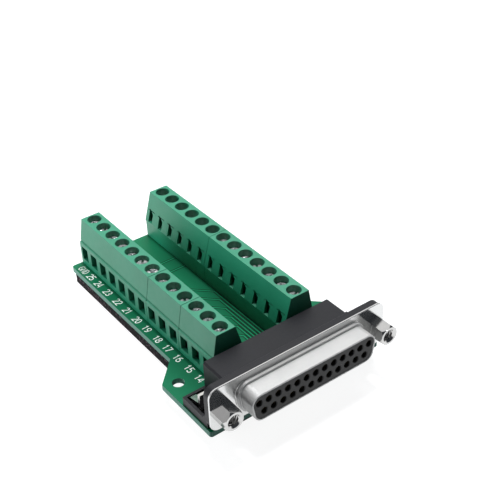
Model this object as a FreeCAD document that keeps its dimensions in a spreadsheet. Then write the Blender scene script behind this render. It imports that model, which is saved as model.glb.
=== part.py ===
import FreeCAD, Part
import math
import os
import Sketcher
from FreeCAD import Placement, Rotation, Vector

# A D-sub socket on a small circuit board, broken out to two rows of screw terminals.
# The frame: +Z up, the socket face looks along -Y, +X is to the right seen from the front.
# The origin is on the surface that the board's pad stands on, at the middle of the length.
# All lengths are in millimetres. "Run" lengths are measured rearwards from the socket face.

SIZES = [
    # board and pad
    ("board_thickness", 1.6, "circuit board, standard thickness"),
    ("board_set_back", 0.4, "board's front edge behind the flange"),
    ("ear_inset", 0.42, "ears in from the flange's ends"),
    ("board_side_strip", 3.5, "board beyond the terminals, with the numbers on it"),
    ("ear_length", 1.8, "ears' straight side behind their holes"),
    ("ear_slope_length", 6.8, "length of the slope from the ear to the narrow part"),
    ("ear_hole_bore", 3.2, "clearance hole for an M3 screw"),
    ("ear_hole_inset", 1.02, "ear holes in from the jackscrews"),
    ("ear_hole_behind", 7.1, "ear holes behind the hood"),
    ("board_corner_radius", 0.7, "routed outer corners"),
    ("pad_thickness", 3.2, "foam pad under the board"),
    ("pad_inset", 0.2, "pad in from the board's long sides"),
    ("pad_set_back", 2.4, "pad in from the board's front edge"),
    ("pad_corner_radius", 1.6, "pad corners in plan"),
    ("pad_floor", 1.2, "foam left under the solder pockets"),
    ("pocket_margin", 1.5, "pocket beyond the outer pins"),
    # terminal rows
    ("pole_pitch", 5.08, "one terminal to the next"),
    ("hood_to_blocks", 1.36, "hood to the first terminals"),
    ("row_spacing", 22.8, "the two rows' screw axes apart"),
    ("block_joint_gap", 0.14, "gap between two blocks in a row"),
    # terminal housing section, from the screw axis and the board
    ("block_top_half_width", 2.85, "half of the flat top"),
    ("wire_face_top", 4.0, "foot of the sloping wire face, from the screw axis"),
    ("groove_height", 7.7, "top of the groove over the wire entries"),
    ("groove_drop", 0.3, "half of the groove's mouth"),
    ("groove_depth", 0.25, "depth of the groove"),
    ("lip_out", 4.4, "lip and lower wall, from the screw axis"),
    ("lip_height", 6.0, "lower edge of the lip, which is the wire entries' top"),
    ("lip_slope", 0.1, "how far the lip leans back up to the groove"),
    ("back_bulge", 5.35, "widest point of the back, from the screw axis"),
    ("back_bulge_height", 5.4, "height of that point"),
    ("back_undercut", 0.2, "lower back wall behind the bulge"),
    ("back_undercut_height", 4.9, "top of the lower back wall"),
    ("well_depth", 4.0, "screw well, from the top face to the shoulder that keeps the screw"),
    ("well_clearance", 0.15, "screw head to its well, all round"),
    ("throat_clearance", 0.2, "screw shank to the hole below the shoulder, all round"),
    ("shoulder_height", 0.9, "shoulder above the chamber's roof"),
    ("cavity_width", 4.0, "chamber for the clamp, along the row"),
    ("cavity_front", 3.2, "chamber towards the wire, from the screw axis"),
    ("cavity_back", 3.4, "chamber towards the back, from the screw axis"),
    ("cavity_height", 9.2, "chamber roof above the board"),
    ("entry_width", 3.2, "wire entry along the row"),
    ("entry_sill", 1.7, "wire entry's sill above the board"),
    ("slot_width", 1.8, "slot in the back"),
    ("slot_sill", 5.5, "slot's lower end above the board"),
    ("slot_top", 9.6, "slot's upper end above the board"),
    ("slot_peak", 1.3, "height of the slot's sloping upper end"),
    # wire clamp, a cage that the screw lifts
    ("clamp_clearance", 0.2, "clamp to the chamber's side walls"),
    ("clamp_front_gap", 0.5, "clamp to the chamber's front wall"),
    ("clamp_back_gap", 1.0, "clamp to the chamber's back wall"),
    ("clamp_bottom", 0.5, "underside of the open clamp above the board"),
    ("clamp_height", 6.9, "height of the clamp"),
    ("clamp_jaw", 0.7, "lower jaw thickness"),
    ("clamp_nut", 1.2, "thickness of the tapped top"),
    ("clamp_wall", 0.5, "side wall thickness"),
    # terminal pin, a bar through the clamp with a leg through the board
    ("bar_side_gap", 0.2, "bar to the clamp's side walls"),
    ("bar_thickness", 0.7, "bar and leg thickness"),
    ("bar_front_gap", 0.3, "bar to the chamber's front wall"),
    ("bar_under_nut", 0.2, "bar's upper face below the clamp's tapped top"),
    ("leg_gap", 0.1, "leg to the chamber's back wall"),
    ("leg_width", 0.9, "leg along the row"),
    ("leg_hole_clearance", 0.25, "board hole round the leg's width"),
    ("tail_length", 1.2, "pins below the board"),
    # terminal screw
    ("screw_head_bore", 3.7, "screw head diameter"),
    ("screw_head_height", 1.5, "screw head height"),
    ("screw_shank_bore", 2.8, "M3 shank at its thread's pitch"),
    ("screw_shank_gap", 0.1, "shank to the clamp's tapped hole, all round"),
    ("screw_tip_gap", 0.15, "screw tip above the bar"),
    ("slot_cut", 0.7, "screwdriver slot width"),
    ("slot_cut_depth", 0.8, "screwdriver slot depth"),
    ("screw_turn_step", 47.0, "degrees from one screw's slot to the next one's"),
    ("lift_left_rear", 1.0, "screw head above its shoulder, this block"),
    ("lift_left_middle", 0.7, "the same, this block"),
    ("lift_left_front", 0.8, "the same, this block"),
    ("lift_right_rear", 0.2, "the same, this block"),
    ("lift_right_front", 0.8, "the same, this block"),
    ("lift_raised", 1.4, "the same, two screws that stand higher"),
    # socket
    ("flange_lift", 0.75, "flange's lower edge above the board"),
    ("flange_end", 3.0, "standard flange beyond its screws"),
    ("flange_rim", 2.3, "flange above and below the shroud"),
    ("flange_thickness", 0.5, "flange sheet"),
    ("flange_corner_radius", 2.4, "flange corners"),
    ("flange_run", 5.7, "socket face to the flange's front"),
    ("screw_beyond_shroud", 4.37, "standard screw centres beyond the shroud"),
    ("flange_hole_clearance", 0.15, "flange hole round the jackscrew's stud"),
    ("shroud_end", 2.53, "shroud's outside beyond the outer contacts"),
    ("shroud_height", 7.9, "standard shroud, outside"),
    ("shroud_corner_radius", 2.6, "shroud corners, outside"),
    ("shroud_side_slope", 10.0, "degrees that the shroud's ends lean"),
    ("shroud_wall", 0.4, "shroud sheet"),
    ("shroud_lip", 0.1, "insulator in from the shroud's edge"),
    ("root_step", 0.6, "drawn step round the shroud's root"),
    ("root_length", 1.1, "length of that step"),
    ("insulator_gap", 0.05, "insulator to the shroud and the bracket"),
    ("contact_pitch", 2.77, "one contact to the next in a row"),
    ("contact_row_spacing", 2.84, "the two contact rows apart"),
    ("contact_hole_clearance", 0.05, "contact hole round the barrel"),
    ("contact_depth", 1.2, "contacts behind the insulator's face"),
    ("contact_barrel_bore", 1.6, "contact barrel outside"),
    ("contact_pin_bore", 1.04, "bore for the mating pin"),
    ("contact_pin_depth", 4.8, "depth of that bore"),
    ("contact_end_gap", 0.2, "barrel end in from the insulator's rear"),
    ("shoulder_step", 0.15, "insulator's shoulder beyond the shroud's outside"),
    ("shoulder_length", 0.95, "length of that shoulder"),
    ("core_inset", 0.65, "insulator behind the flange, in from the shroud's ends"),
    ("core_drop", 0.45, "the same, in from the shroud's top and underside"),
    ("tail_side", 0.6, "contact tail, square"),
    ("tail_hole_clearance", 0.2, "board hole round a contact tail"),
    ("tail_behind_plate", 3.2, "the lower row's tails behind the bracket's plate"),
    ("tail_row_spacing", 2.84, "the two rows of tails apart"),
    # bracket behind the flange
    ("bracket_plate", 2.0, "moulded plate behind the flange"),
    ("bracket_margin", 0.2, "plate in from the flange's edge"),
    ("hood_end", 2.78, "hood's outside beyond the outer contacts"),
    ("hood_behind_tails", 4.26, "hood's rear behind the upper row's tails"),
    ("hood_top", 2.8, "hood's top above the socket's centre line"),
    ("hood_wall", 0.8, "hood's top and rear wall"),
    ("hood_side_wall", 0.9, "hood's side walls"),
    ("hood_chamfer", 0.5, "bevel along the hood's upper ends"),
    ("foot_inset", 0.72, "feet in from the flange's ends"),
    ("foot_height", 2.4, "foot above the board"),
    ("foot_wall", 0.8, "foot's walls and floor"),
    ("gusset_height", 2.1, "gusset above the foot"),
    ("gusset_run", 1.9, "gusset behind the plate"),
    # fasteners of the socket
    ("jack_hex", 5.0, "jackscrew across flats"),
    ("jack_face_run", 0.2, "socket face to the jackscrew's face"),
    ("jack_chamfer", 0.45, "chamfer of the hexagon's corners at the face"),
    ("jack_chamfer_length", 0.7, "length of that chamfer"),
    ("jack_bore", 2.85, "jackscrew's threaded bore"),
    ("jack_bore_depth", 4.0, "depth of that bore"),
    ("jack_bore_chamfer", 0.5, "countersink of that bore"),
    ("jack_stud_bore", 2.8, "jackscrew's stud"),
    ("jack_turn_left", 45.0, "degrees that the left hexagon is turned, seen from the front"),
    ("jack_turn_right", 15.0, "the same on the right"),
    ("jack_stud_inset", 0.2, "stud's end in from the insert's end"),
    ("insert_clearance", 0.05, "threaded insert round the jackscrew's stud"),
    ("insert_seat_bore", 4.4, "threaded insert outside"),
    ("insert_end", 0.6, "insert beyond the plate"),
    ("lock_behind_plate", 5.2, "the lock's strip behind the bracket's plate"),
    ("lock_thickness", 0.8, "board lock strip"),
    ("lock_width", 1.8, "board lock strip across"),
    ("lock_height", 5.8, "strip above the board"),
    ("lock_arm_gap", 0.3, "spring arm's end to the foot's rear wall"),
    ("lock_arm_height", 3.2, "spring arm above the board"),
    ("lock_arm_drop", 0.9, "fall of the arm to its end"),
    ("lock_barb", 0.5, "barb under the board, each side"),
    ("lock_hole_clearance", 0.165, "board hole round the lock's strip"),
    ("running_gap", 0.1, "parts passed through a hole"),
]

# Each row of terminals is made of blocks, given from the rear to the front with the labels
# of their poles.
LEFT_LABELS = ["gnd"] + ["%02d" % number for number in range(25, 13, -1)]
RIGHT_LABELS = ["%02d" % number for number in range(13, 0, -1)]
LEFT_BLOCKS = [("left_rear", LEFT_LABELS[:7]), ("left_middle", LEFT_LABELS[7:10]),
               ("left_front", LEFT_LABELS[10:])]
RIGHT_BLOCKS = [("right_rear", RIGHT_LABELS[:6]), ("right_front", RIGHT_LABELS[6:])]
RAISED_SCREWS = ("20", "21")
POLES_PER_ROW = len(LEFT_LABELS)
UPPER_CONTACTS = 13
LOWER_CONTACTS = 12

# Round holes and rods that repeat have this many flat sides, which keeps the model light.
WELL_SIDES = 16
FINE_SIDES = 8
# A cut starts and ends this far outside what it cuts.
OVERCUT = 0.5


def add_driven_sizes(value):
    """Sizes that follow from the driving ones, in the order in which they need each other."""
    spread = (UPPER_CONTACTS - 1) * value["contact_pitch"]
    value["shroud_width"] = spread + 2 * value["shroud_end"]
    value["socket_screw_spacing"] = value["shroud_width"] + 2 * value["screw_beyond_shroud"]
    value["flange_width"] = value["socket_screw_spacing"] + 2 * value["flange_end"]
    value["flange_height"] = value["shroud_height"] + 2 * value["flange_rim"]
    value["socket_height"] = value["flange_height"] / 2 + value["flange_lift"]
    value["core_width"] = value["shroud_width"] - 2 * value["core_inset"]
    value["core_height"] = value["shroud_height"] - 2 * value["core_drop"]
    value["hood_width"] = spread + 2 * value["hood_end"]
    beside_hood = (value["flange_width"] - value["hood_width"]) / 2
    value["foot_width"] = beside_hood - value["foot_inset"]

    value["well_floor"] = value["cavity_height"] + value["shoulder_height"]
    value["block_height"] = value["well_floor"] + value["well_depth"]
    value["well_bore"] = value["screw_head_bore"] + 2 * value["well_clearance"]
    value["throat_bore"] = value["screw_shank_bore"] + 2 * value["throat_clearance"]
    value["clamp_front"] = value["cavity_front"] - value["clamp_front_gap"]
    value["clamp_back"] = value["cavity_back"] - value["clamp_back_gap"]
    clamp_inside = value["cavity_width"] - 2 * (value["clamp_clearance"] + value["clamp_wall"])
    value["bar_width"] = clamp_inside - 2 * value["bar_side_gap"]
    value["bar_front"] = value["cavity_front"] - value["bar_front_gap"]
    nut_underside = value["clamp_bottom"] + value["clamp_height"] - value["clamp_nut"]
    value["bar_top"] = nut_underside - value["bar_under_nut"]
    value["leg_run"] = value["cavity_back"] - value["leg_gap"]
    value["leg_hole_side"] = value["leg_width"] + 2 * value["leg_hole_clearance"]
    value["tail_hole_side"] = value["tail_side"] + 2 * value["tail_hole_clearance"]
    value["contact_hole_bore"] = (value["contact_barrel_bore"]
                                  + 2 * value["contact_hole_clearance"])
    value["flange_hole_bore"] = value["jack_stud_bore"] + 2 * value["flange_hole_clearance"]
    value["insert_bore"] = value["jack_stud_bore"] + 2 * value["insert_clearance"]
    value["lock_hole_bore"] = (math.hypot(value["lock_width"], value["lock_thickness"])
                               + 2 * value["lock_hole_clearance"])

    flange_back = value["flange_run"] + value["flange_thickness"]
    plate_back = flange_back + value["bracket_plate"]
    value["lower_tail_run"] = plate_back + value["tail_behind_plate"]
    value["lock_run"] = plate_back + value["lock_behind_plate"]
    upper_tail_run = value["lower_tail_run"] + value["tail_row_spacing"]
    value["hood_run"] = upper_tail_run + value["hood_behind_tails"]
    value["first_pole_run"] = value["hood_run"] + value["hood_to_blocks"] + value["pole_pitch"] / 2

    value["board_front_run"] = flange_back + value["board_set_back"]
    value["board_front_width"] = value["flange_width"] - 2 * value["ear_inset"]
    beside_screws = value["lip_out"] + value["board_side_strip"]
    value["board_rear_width"] = value["row_spacing"] + 2 * beside_screws
    value["ear_hole_run"] = value["hood_run"] + value["ear_hole_behind"]
    value["ear_hole_spacing"] = value["socket_screw_spacing"] - 2 * value["ear_hole_inset"]
    value["ear_run"] = value["ear_hole_run"] + value["ear_length"]
    value["pad_front_run"] = value["board_front_run"] + value["pad_set_back"]


values = {alias: value for alias, value, note in SIZES}
notes = {alias: note for alias, value, note in SIZES}
add_driven_sizes(values)

doc = FreeCAD.newDocument("terminal_adapter")
sheet = doc.addObject("Spreadsheet::Sheet", "Sizes")
for row, (alias, value) in enumerate(values.items(), start=1):
    sheet.set("A%d" % row, alias)
    sheet.set("B%d" % row, "%.6g" % value)
    sheet.setAlias("B%d" % row, alias)
    sheet.set("C%d" % row, notes.get(alias, "worked out from the sizes above"))
doc.recompute()


def size(alias):
    """The value of one cell of the sheet."""
    return float(sheet.get(alias))


def cell(alias):
    """The same cell, as the text of a formula."""
    return "Sizes." + alias


# Levels and stations that several pieces share.
BOARD_BOTTOM = size("pad_thickness")
BOARD_TOP = BOARD_BOTTOM + size("board_thickness")
SOCKET_LEVEL = BOARD_TOP + size("socket_height")
PITCH = size("pole_pitch")
ROW_X = size("row_spacing") / 2
ROW_FRONT_RUN = size("first_pole_run") - PITCH / 2
BOARD_REAR_RUN = ROW_FRONT_RUN + POLES_PER_ROW * PITCH
FACE_Y = -BOARD_REAR_RUN / 2
FLANGE_BACK_RUN = size("flange_run") + size("flange_thickness")
PLATE_BACK_RUN = FLANGE_BACK_RUN + size("bracket_plate")
SCREW_X = size("socket_screw_spacing") / 2
SIDES = (("left", -1), ("right", 1))

parts = []


def finish(obj, label):
    """Names a finished sub-part and puts it on the list that is checked and written."""
    obj.Label = label
    parts.append(obj)
    return obj


def origin_feature(body, role):
    """One of a body's own origin planes or axes."""
    return next(f for f in body.Origin.OriginFeatures if f.Role == role)


def new_body(label, place):
    body = doc.addObject("PartDesign::Body", label)
    body.Placement = place
    return finish(body, label)


def new_sketch(body, plane, offset=None):
    """A sketch on an origin plane of the body, moved along its normal by a formula."""
    sketch = body.newObject("Sketcher::SketchObject", body.Name + "_sketch")
    sketch.AttachmentSupport = [(origin_feature(body, plane), "")]
    sketch.MapMode = "FlatFace"
    if offset is not None:
        sketch.setExpression("AttachmentOffset.Base.z", offset)
    return sketch


def pin_point(sketch, geometry, point, across, along):
    """Ties a point to the sketch's origin by two formulas."""
    for kind, formula in (("DistanceX", across), ("DistanceY", along)):
        index = sketch.addConstraint(Sketcher.Constraint(kind, -1, 1, geometry, point, PITCH))
        sketch.setExpression("Constraints[%d]" % index, formula)


def draw_outline(sketch, corners):
    """A closed outline of straight lines through corners that are given as formulas."""
    count = len(corners)
    # The lines start as a ring round the origin, and the formulas then take them in place.
    ring = [Rotation(Vector(0, 0, 1), 360.0 * i / count).multVec(Vector(PITCH, 0, 0))
            for i in range(count)]
    first = len(sketch.Geometry)
    for i in range(count):
        sketch.addGeometry(Part.LineSegment(ring[i], ring[(i + 1) % count]), False)
    for i in range(count):
        link = Sketcher.Constraint("Coincident", first + i, 2, first + (i + 1) % count, 1)
        sketch.addConstraint(link)
    for i, (across, along) in enumerate(corners):
        pin_point(sketch, first + i, 1, across, along)


def draw_rectangle(sketch, low_x, low_y, high_x, high_y):
    draw_outline(sketch, [(low_x, low_y), (high_x, low_y), (high_x, high_y), (low_x, high_y)])


def draw_square(sketch, across, along, side):
    draw_rectangle(sketch, "%s - %s / 2" % (across, side), "%s - %s / 2" % (along, side),
                   "%s + %s / 2" % (across, side), "%s + %s / 2" % (along, side))


def draw_flat_sided(sketch, across, along, bore, sides):
    """A regular polygon whose flat sides touch a circle of that bore."""
    reach = "%s / 2 / cos(%g deg)" % (bore, 180 / sides)
    corners = []
    for i in range(sides):
        angle = (i + 0.5) * 360 / sides
        corners.append(("%s + %s * cos(%g deg)" % (across, reach, angle),
                        "%s + %s * sin(%g deg)" % (along, reach, angle)))
    draw_outline(sketch, corners)


def draw_circle(sketch, across, along, bore):
    circle = Part.Circle(Vector(PITCH, PITCH, 0), Vector(0, 0, 1), PITCH)
    index = sketch.addGeometry(circle, False)
    pin_point(sketch, index, 3, across, along)
    width = sketch.addConstraint(Sketcher.Constraint("Diameter", index, PITCH))
    sketch.setExpression("Constraints[%d]" % width, bore)


def pad(body, sketch, length, midplane=False, reverse=False):
    feature = body.newObject("PartDesign::Pad", body.Name + "_pad")
    feature.Profile = sketch
    feature.setExpression("Length", length)
    feature.Midplane = midplane
    feature.Reversed = reverse
    body.Tip = feature
    return feature


def pocket(body, sketch, length=None, reverse=False):
    """Cuts the sketch into the body, against its normal unless reversed, or right through."""
    feature = body.newObject("PartDesign::Pocket", body.Name + "_pocket")
    feature.Profile = sketch
    if length is None:
        feature.Type = "ThroughAll"
        feature.Midplane = True
    else:
        feature.setExpression("Length", length)
        feature.Reversed = reverse
    body.Tip = feature
    return feature


def row_pattern(body, features, axis, length, count):
    """Repeats features along an axis of the body, over a length that is a formula."""
    pattern = body.newObject("PartDesign::LinearPattern", body.Name + "_pattern")
    pattern.Originals = features
    pattern.Direction = (origin_feature(body, axis), [""])
    pattern.setExpression("Length", length)
    pattern.Occurrences = count
    body.Tip = pattern
    return pattern


def mirror(body, features, plane):
    feature = body.newObject("PartDesign::Mirrored", body.Name + "_mirror")
    feature.Originals = features
    feature.MirrorPlane = (origin_feature(body, plane), [""])
    body.Tip = feature
    return feature


def straight_edges(shape, axis, keep):
    """Names of the straight edges along an axis whose middle passes a test."""
    names = []
    for number, edge in enumerate(shape.Edges, start=1):
        start, end = edge.Vertexes[0].Point, edge.Vertexes[-1].Point
        along = end - start
        if along.Length > 1e-6 and abs(abs(along * axis) - along.Length) < 1e-6:
            if keep((start + end) * 0.5):
                names.append("Edge%d" % number)
    return names


def round_edges(body, radius, axis, keep=lambda middle: True):
    doc.recompute()
    base = body.Tip
    feature = body.newObject("PartDesign::Fillet", body.Name + "_fillet")
    feature.Base = (base, straight_edges(base.Shape, axis, keep))
    feature.setExpression("Radius", radius)
    body.Tip = feature
    return feature


def make_circuit_board():
    """The board: its outline with two ears, and a hole for every pin, lock and screw."""
    body = new_body("circuit_board", Placement(Vector(0, FACE_Y, BOARD_BOTTOM), Rotation()))
    rear = "%s - %s / 2 + %d * %s" % (cell("first_pole_run"), cell("pole_pitch"),
                                      POLES_PER_ROW, cell("pole_pitch"))
    half = cell("board_front_width") + " / 2"
    narrow = cell("board_rear_width") + " / 2"
    slope_end = cell("ear_run") + " + " + cell("ear_slope_length")
    right = [(half, cell("board_front_run")), (half, cell("ear_run")),
             (narrow, slope_end), (narrow, rear)]
    left = [("-(%s)" % across, along) for across, along in reversed(right)]
    outline = new_sketch(body, "XY_Plane")
    draw_outline(outline, right + left)
    pad(body, outline, cell("board_thickness"))
    front_run = size("board_front_run")

    def at_an_end(middle):
        return middle.y < front_run + 0.01 or middle.y > BOARD_REAR_RUN - 0.01
    round_edges(body, cell("board_corner_radius"), Vector(0, 0, 1), at_an_end)

    for side in ("", "-"):
        ears = new_sketch(body, "XY_Plane")
        draw_circle(ears, "%s(%s / 2)" % (side, cell("ear_hole_spacing")),
                    cell("ear_hole_run"), cell("ear_hole_bore"))
        draw_circle(ears, "%s(%s / 2)" % (side, cell("socket_screw_spacing")),
                    cell("lock_run"), cell("lock_hole_bore"))
        pocket(body, ears)

    leg_x = "%s / 2 - %s + %s / 2" % (cell("row_spacing"), cell("leg_run"),
                                      cell("bar_thickness"))
    legs = new_sketch(body, "XY_Plane")
    for side in ("", "-"):
        draw_square(legs, "%s(%s)" % (side, leg_x), cell("first_pole_run"),
                    cell("leg_hole_side"))
    leg_holes = pocket(body, legs)
    row_pattern(body, [leg_holes], "Y_Axis", "%d * %s" % (POLES_PER_ROW - 1, cell("pole_pitch")),
                POLES_PER_ROW)

    tail_rows = ((UPPER_CONTACTS, cell("lower_tail_run") + " + " + cell("tail_row_spacing")),
                 (LOWER_CONTACTS, cell("lower_tail_run")))
    for count, run in tail_rows:
        tails = new_sketch(body, "XY_Plane")
        draw_square(tails, "-%s * %s" % ((count - 1) / 2, cell("contact_pitch")), run,
                    cell("tail_hole_side"))
        tail_holes = pocket(body, tails)
        row_pattern(body, [tail_holes], "X_Axis", "%d * %s" % (count - 1, cell("contact_pitch")),
                    count)
    return body


def make_base_pad():
    """The foam pad, with pockets over the solder of the terminals and the socket."""
    body = new_body("base_pad", Placement(Vector(0, FACE_Y, 0), Rotation()))
    rear = "%s - %s / 2 + %d * %s - %s" % (cell("first_pole_run"), cell("pole_pitch"),
                                           POLES_PER_ROW, cell("pole_pitch"), cell("pad_inset"))
    half = "(%s / 2 - %s)" % (cell("board_rear_width"), cell("pad_inset"))
    outline = new_sketch(body, "XY_Plane")
    draw_rectangle(outline, "-" + half, cell("pad_front_run"), half, rear)
    pad(body, outline, cell("pad_thickness"))
    round_edges(body, cell("pad_corner_radius"), Vector(0, 0, 1))

    depth = "%s - %s" % (cell("pad_thickness"), cell("pad_floor"))
    pockets = new_sketch(body, "XY_Plane", cell("pad_thickness"))
    margin = cell("pocket_margin")
    leg_x = "(%s / 2 - %s + %s / 2)" % (cell("row_spacing"), cell("leg_run"),
                                        cell("bar_thickness"))
    first = "%s - %s" % (cell("first_pole_run"), margin)
    last = "%s + %d * %s + %s" % (cell("first_pole_run"), POLES_PER_ROW - 1,
                                  cell("pole_pitch"), margin)
    draw_rectangle(pockets, "%s - %s" % (leg_x, margin), first,
                   "%s + %s" % (leg_x, margin), last)
    draw_rectangle(pockets, "-%s - %s" % (leg_x, margin), first,
                   "-%s + %s" % (leg_x, margin), last)
    tails = "(%s * %s + %s)" % ((UPPER_CONTACTS - 1) / 2, cell("contact_pitch"), margin)
    draw_rectangle(pockets, "-" + tails, "%s - %s" % (cell("lower_tail_run"), margin),
                   tails, "%s + %s + %s" % (cell("lower_tail_run"), cell("tail_row_spacing"),
                                            margin))
    pocket(body, pockets, depth)
    return body


def make_terminal_housing(label, poles, place):
    """One moulded block: a long section with a screw well, a chamber, a wire entry and a
    back slot at each pole. Its frame has the wire side at +X and the screws on X = 0."""
    body = new_body("terminal_housing_" + label, place)
    top = cell("block_height")
    groove_foot = "%s - 2 * %s" % (cell("groove_height"), cell("groove_drop"))
    groove_middle = "%s - %s" % (cell("groove_height"), cell("groove_drop"))
    lower_back = "-(%s - %s)" % (cell("back_bulge"), cell("back_undercut"))
    section = new_sketch(body, "XZ_Plane")
    draw_outline(section, [
        (lower_back, "0"),
        (cell("lip_out"), "0"),
        (cell("lip_out"), cell("lip_height")),
        ("%s - %s" % (cell("lip_out"), cell("lip_slope")), groove_foot),
        (cell("wire_face_top") + " - " + cell("groove_depth"), groove_middle),
        (cell("wire_face_top"), cell("groove_height")),
        (cell("block_top_half_width"), top),
        ("-" + cell("block_top_half_width"), top),
        ("-" + cell("back_bulge"), cell("back_bulge_height")),
        (lower_back, cell("back_undercut_height")),
    ])
    pad(body, section, "%d * %s - %s" % (poles, cell("pole_pitch"), cell("block_joint_gap")),
        midplane=True)

    # Every cut is drawn at the first pole and then repeated along the block.
    first = "(-%s * %s)" % ((poles - 1) / 2, cell("pole_pitch"))
    wells = new_sketch(body, "XY_Plane", top)
    draw_flat_sided(wells, "0", first, cell("well_bore"), WELL_SIDES)
    well = pocket(body, wells, "%s - %s" % (top, cell("well_floor")))

    throats = new_sketch(body, "XY_Plane", top)
    draw_flat_sided(throats, "0", first, cell("throat_bore"), FINE_SIDES)
    throat = pocket(body, throats, "%s - %s + %g" % (top, cell("cavity_height"), OVERCUT))

    chambers = new_sketch(body, "XY_Plane")
    draw_rectangle(chambers, "-" + cell("cavity_back"), "%s - %s / 2" % (first, cell("cavity_width")),
                   cell("cavity_front"), "%s + %s / 2" % (first, cell("cavity_width")))
    chamber = pocket(body, chambers, cell("cavity_height"), reverse=True)

    entries = new_sketch(body, "YZ_Plane", "%s + %g" % (cell("lip_out"), OVERCUT))
    draw_rectangle(entries, "%s - %s / 2" % (first, cell("entry_width")), cell("entry_sill"),
                   "%s + %s / 2" % (first, cell("entry_width")), cell("lip_height"))
    entry = pocket(body, entries, "%s - %s + %g" % (cell("lip_out"), cell("cavity_front"),
                                                    2 * OVERCUT))

    slots = new_sketch(body, "YZ_Plane", "-(%s + %g)" % (cell("back_bulge"), OVERCUT))
    draw_outline(slots, [
        ("%s - %s / 2" % (first, cell("slot_width")), cell("slot_sill")),
        ("%s + %s / 2" % (first, cell("slot_width")), cell("slot_sill")),
        ("%s + %s / 2" % (first, cell("slot_width")), cell("slot_top")),
        ("%s - %s / 2" % (first, cell("slot_width")),
         "%s - %s" % (cell("slot_top"), cell("slot_peak"))),
    ])
    slot = pocket(body, slots, "%s - %s + %g" % (cell("back_bulge"), cell("cavity_back"),
                                                 2 * OVERCUT), reverse=True)

    row_pattern(body, [well, throat, chamber, entry, slot], "Y_Axis",
                "%d * %s" % (poles - 1, cell("pole_pitch")), poles)
    return body


def box(low, high):
    """A solid box from its lowest corner to its highest."""
    extent = high - low
    return Part.makeBox(extent.x, extent.y, extent.z, low)


def rod(bore, start, end):
    """A round rod of a diameter, from one point to another."""
    along = end - start
    return Part.makeCylinder(bore / 2, along.Length, start, along)


def flat_sided_rod(bore, start, end):
    """A rod square to X whose flat sides touch a circle of that bore."""
    along = end - start
    reach = Vector(bore / 2 / math.cos(math.pi / FINE_SIDES), 0, 0)
    corners = [start + Rotation(along, (i + 0.5) * 360 / FINE_SIDES).multVec(reach)
               for i in range(FINE_SIDES)]
    return Part.Face(Part.makePolygon(corners + corners[:1])).extrude(along)


def wire_clamp():
    """The cage of one pole: a tapped top, two side walls and a lower jaw."""
    half = size("cavity_width") / 2 - size("clamp_clearance")
    low = size("clamp_bottom")
    high = low + size("clamp_height")
    outside = box(Vector(-size("clamp_back"), -half, low), Vector(size("clamp_front"), half, high))
    inner_half = half - size("clamp_wall")
    window = box(Vector(-size("clamp_back") - OVERCUT, -inner_half, low + size("clamp_jaw")),
                 Vector(size("clamp_front") + OVERCUT, inner_half, high - size("clamp_nut")))
    tapped = size("screw_shank_bore") + 2 * size("screw_shank_gap")
    hole = flat_sided_rod(tapped, Vector(0, 0, high - size("clamp_nut") - OVERCUT),
                          Vector(0, 0, high + OVERCUT))
    return outside.cut(window).cut(hole)


def terminal_pin():
    """The bar of one pole, with its leg down through the board."""
    top = size("bar_top")
    thick = size("bar_thickness")
    half = size("bar_width") / 2
    leg_half = size("leg_width") / 2
    leg_end = -size("board_thickness") - size("tail_length")
    bar = box(Vector(-size("leg_run"), -half, top - thick), Vector(size("bar_front"), half, top))
    leg = box(Vector(-size("leg_run"), -leg_half, leg_end),
              Vector(-size("leg_run") + thick, leg_half, top - thick / 2))
    return bar.fuse(leg).removeSplitter()


def make_group(label, solids, place):
    """Separate like pieces that share one node."""
    group = doc.addObject("Part::Feature", label)
    group.Shape = Part.makeCompound(solids)
    group.Placement = place
    return finish(group, label)


def along_block(solid, poles):
    """Copies of one pole's piece at every pole of a block."""
    copies = []
    for pole in range(poles):
        copy = solid.copy()
        copy.translate(Vector(0, (pole - (poles - 1) / 2) * PITCH, 0))
        copies.append(copy)
    return copies


def bind(obj, **formulas):
    """Binds properties of an object to formulas, and returns the object."""
    for name, formula in formulas.items():
        obj.setExpression(name, formula)
    return obj


def make_terminal_screw(label, under_head, axis, turn):
    """A cheese-head screw with a slot. Its frame has the axis on Z and the underside of the
    head at Z = 0."""
    head = bind(doc.addObject("Part::Prism", label + "_head"),
                Circumradius=cell("screw_head_bore") + " / 2", Height=cell("screw_head_height"))
    head.Polygon = WELL_SIDES
    tip = BOARD_TOP + size("bar_top") + size("screw_tip_gap")
    shank = bind(doc.addObject("Part::Prism", label + "_shank"),
                 Circumradius=cell("screw_shank_bore") + " / 2")
    shank.Polygon = FINE_SIDES
    shank.Height = under_head - tip
    shank.Placement = Placement(Vector(0, 0, tip - under_head), Rotation())
    blank = doc.addObject("Part::Fuse", label + "_blank")
    blank.Base = head
    blank.Tool = shank
    slot_length = "(%s + %g)" % (cell("screw_head_bore"), 2 * OVERCUT)
    slot = bind(doc.addObject("Part::Box", label + "_slot"), Length=slot_length,
                Width=cell("slot_cut"), Height="%s + %g" % (cell("slot_cut_depth"), OVERCUT))
    bind(slot, **{
        "Placement.Base.x": "-%s / 2" % slot_length,
        "Placement.Base.y": "-%s / 2" % cell("slot_cut"),
        "Placement.Base.z": "%s - %s" % (cell("screw_head_height"), cell("slot_cut_depth")),
    })
    screw = doc.addObject("Part::Cut", label)
    screw.Base = blank
    screw.Tool = slot
    screw.Placement = Placement(Vector(axis.x, axis.y, under_head),
                                Rotation(Vector(0, 0, 1), turn))
    return finish(screw, label)


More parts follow.
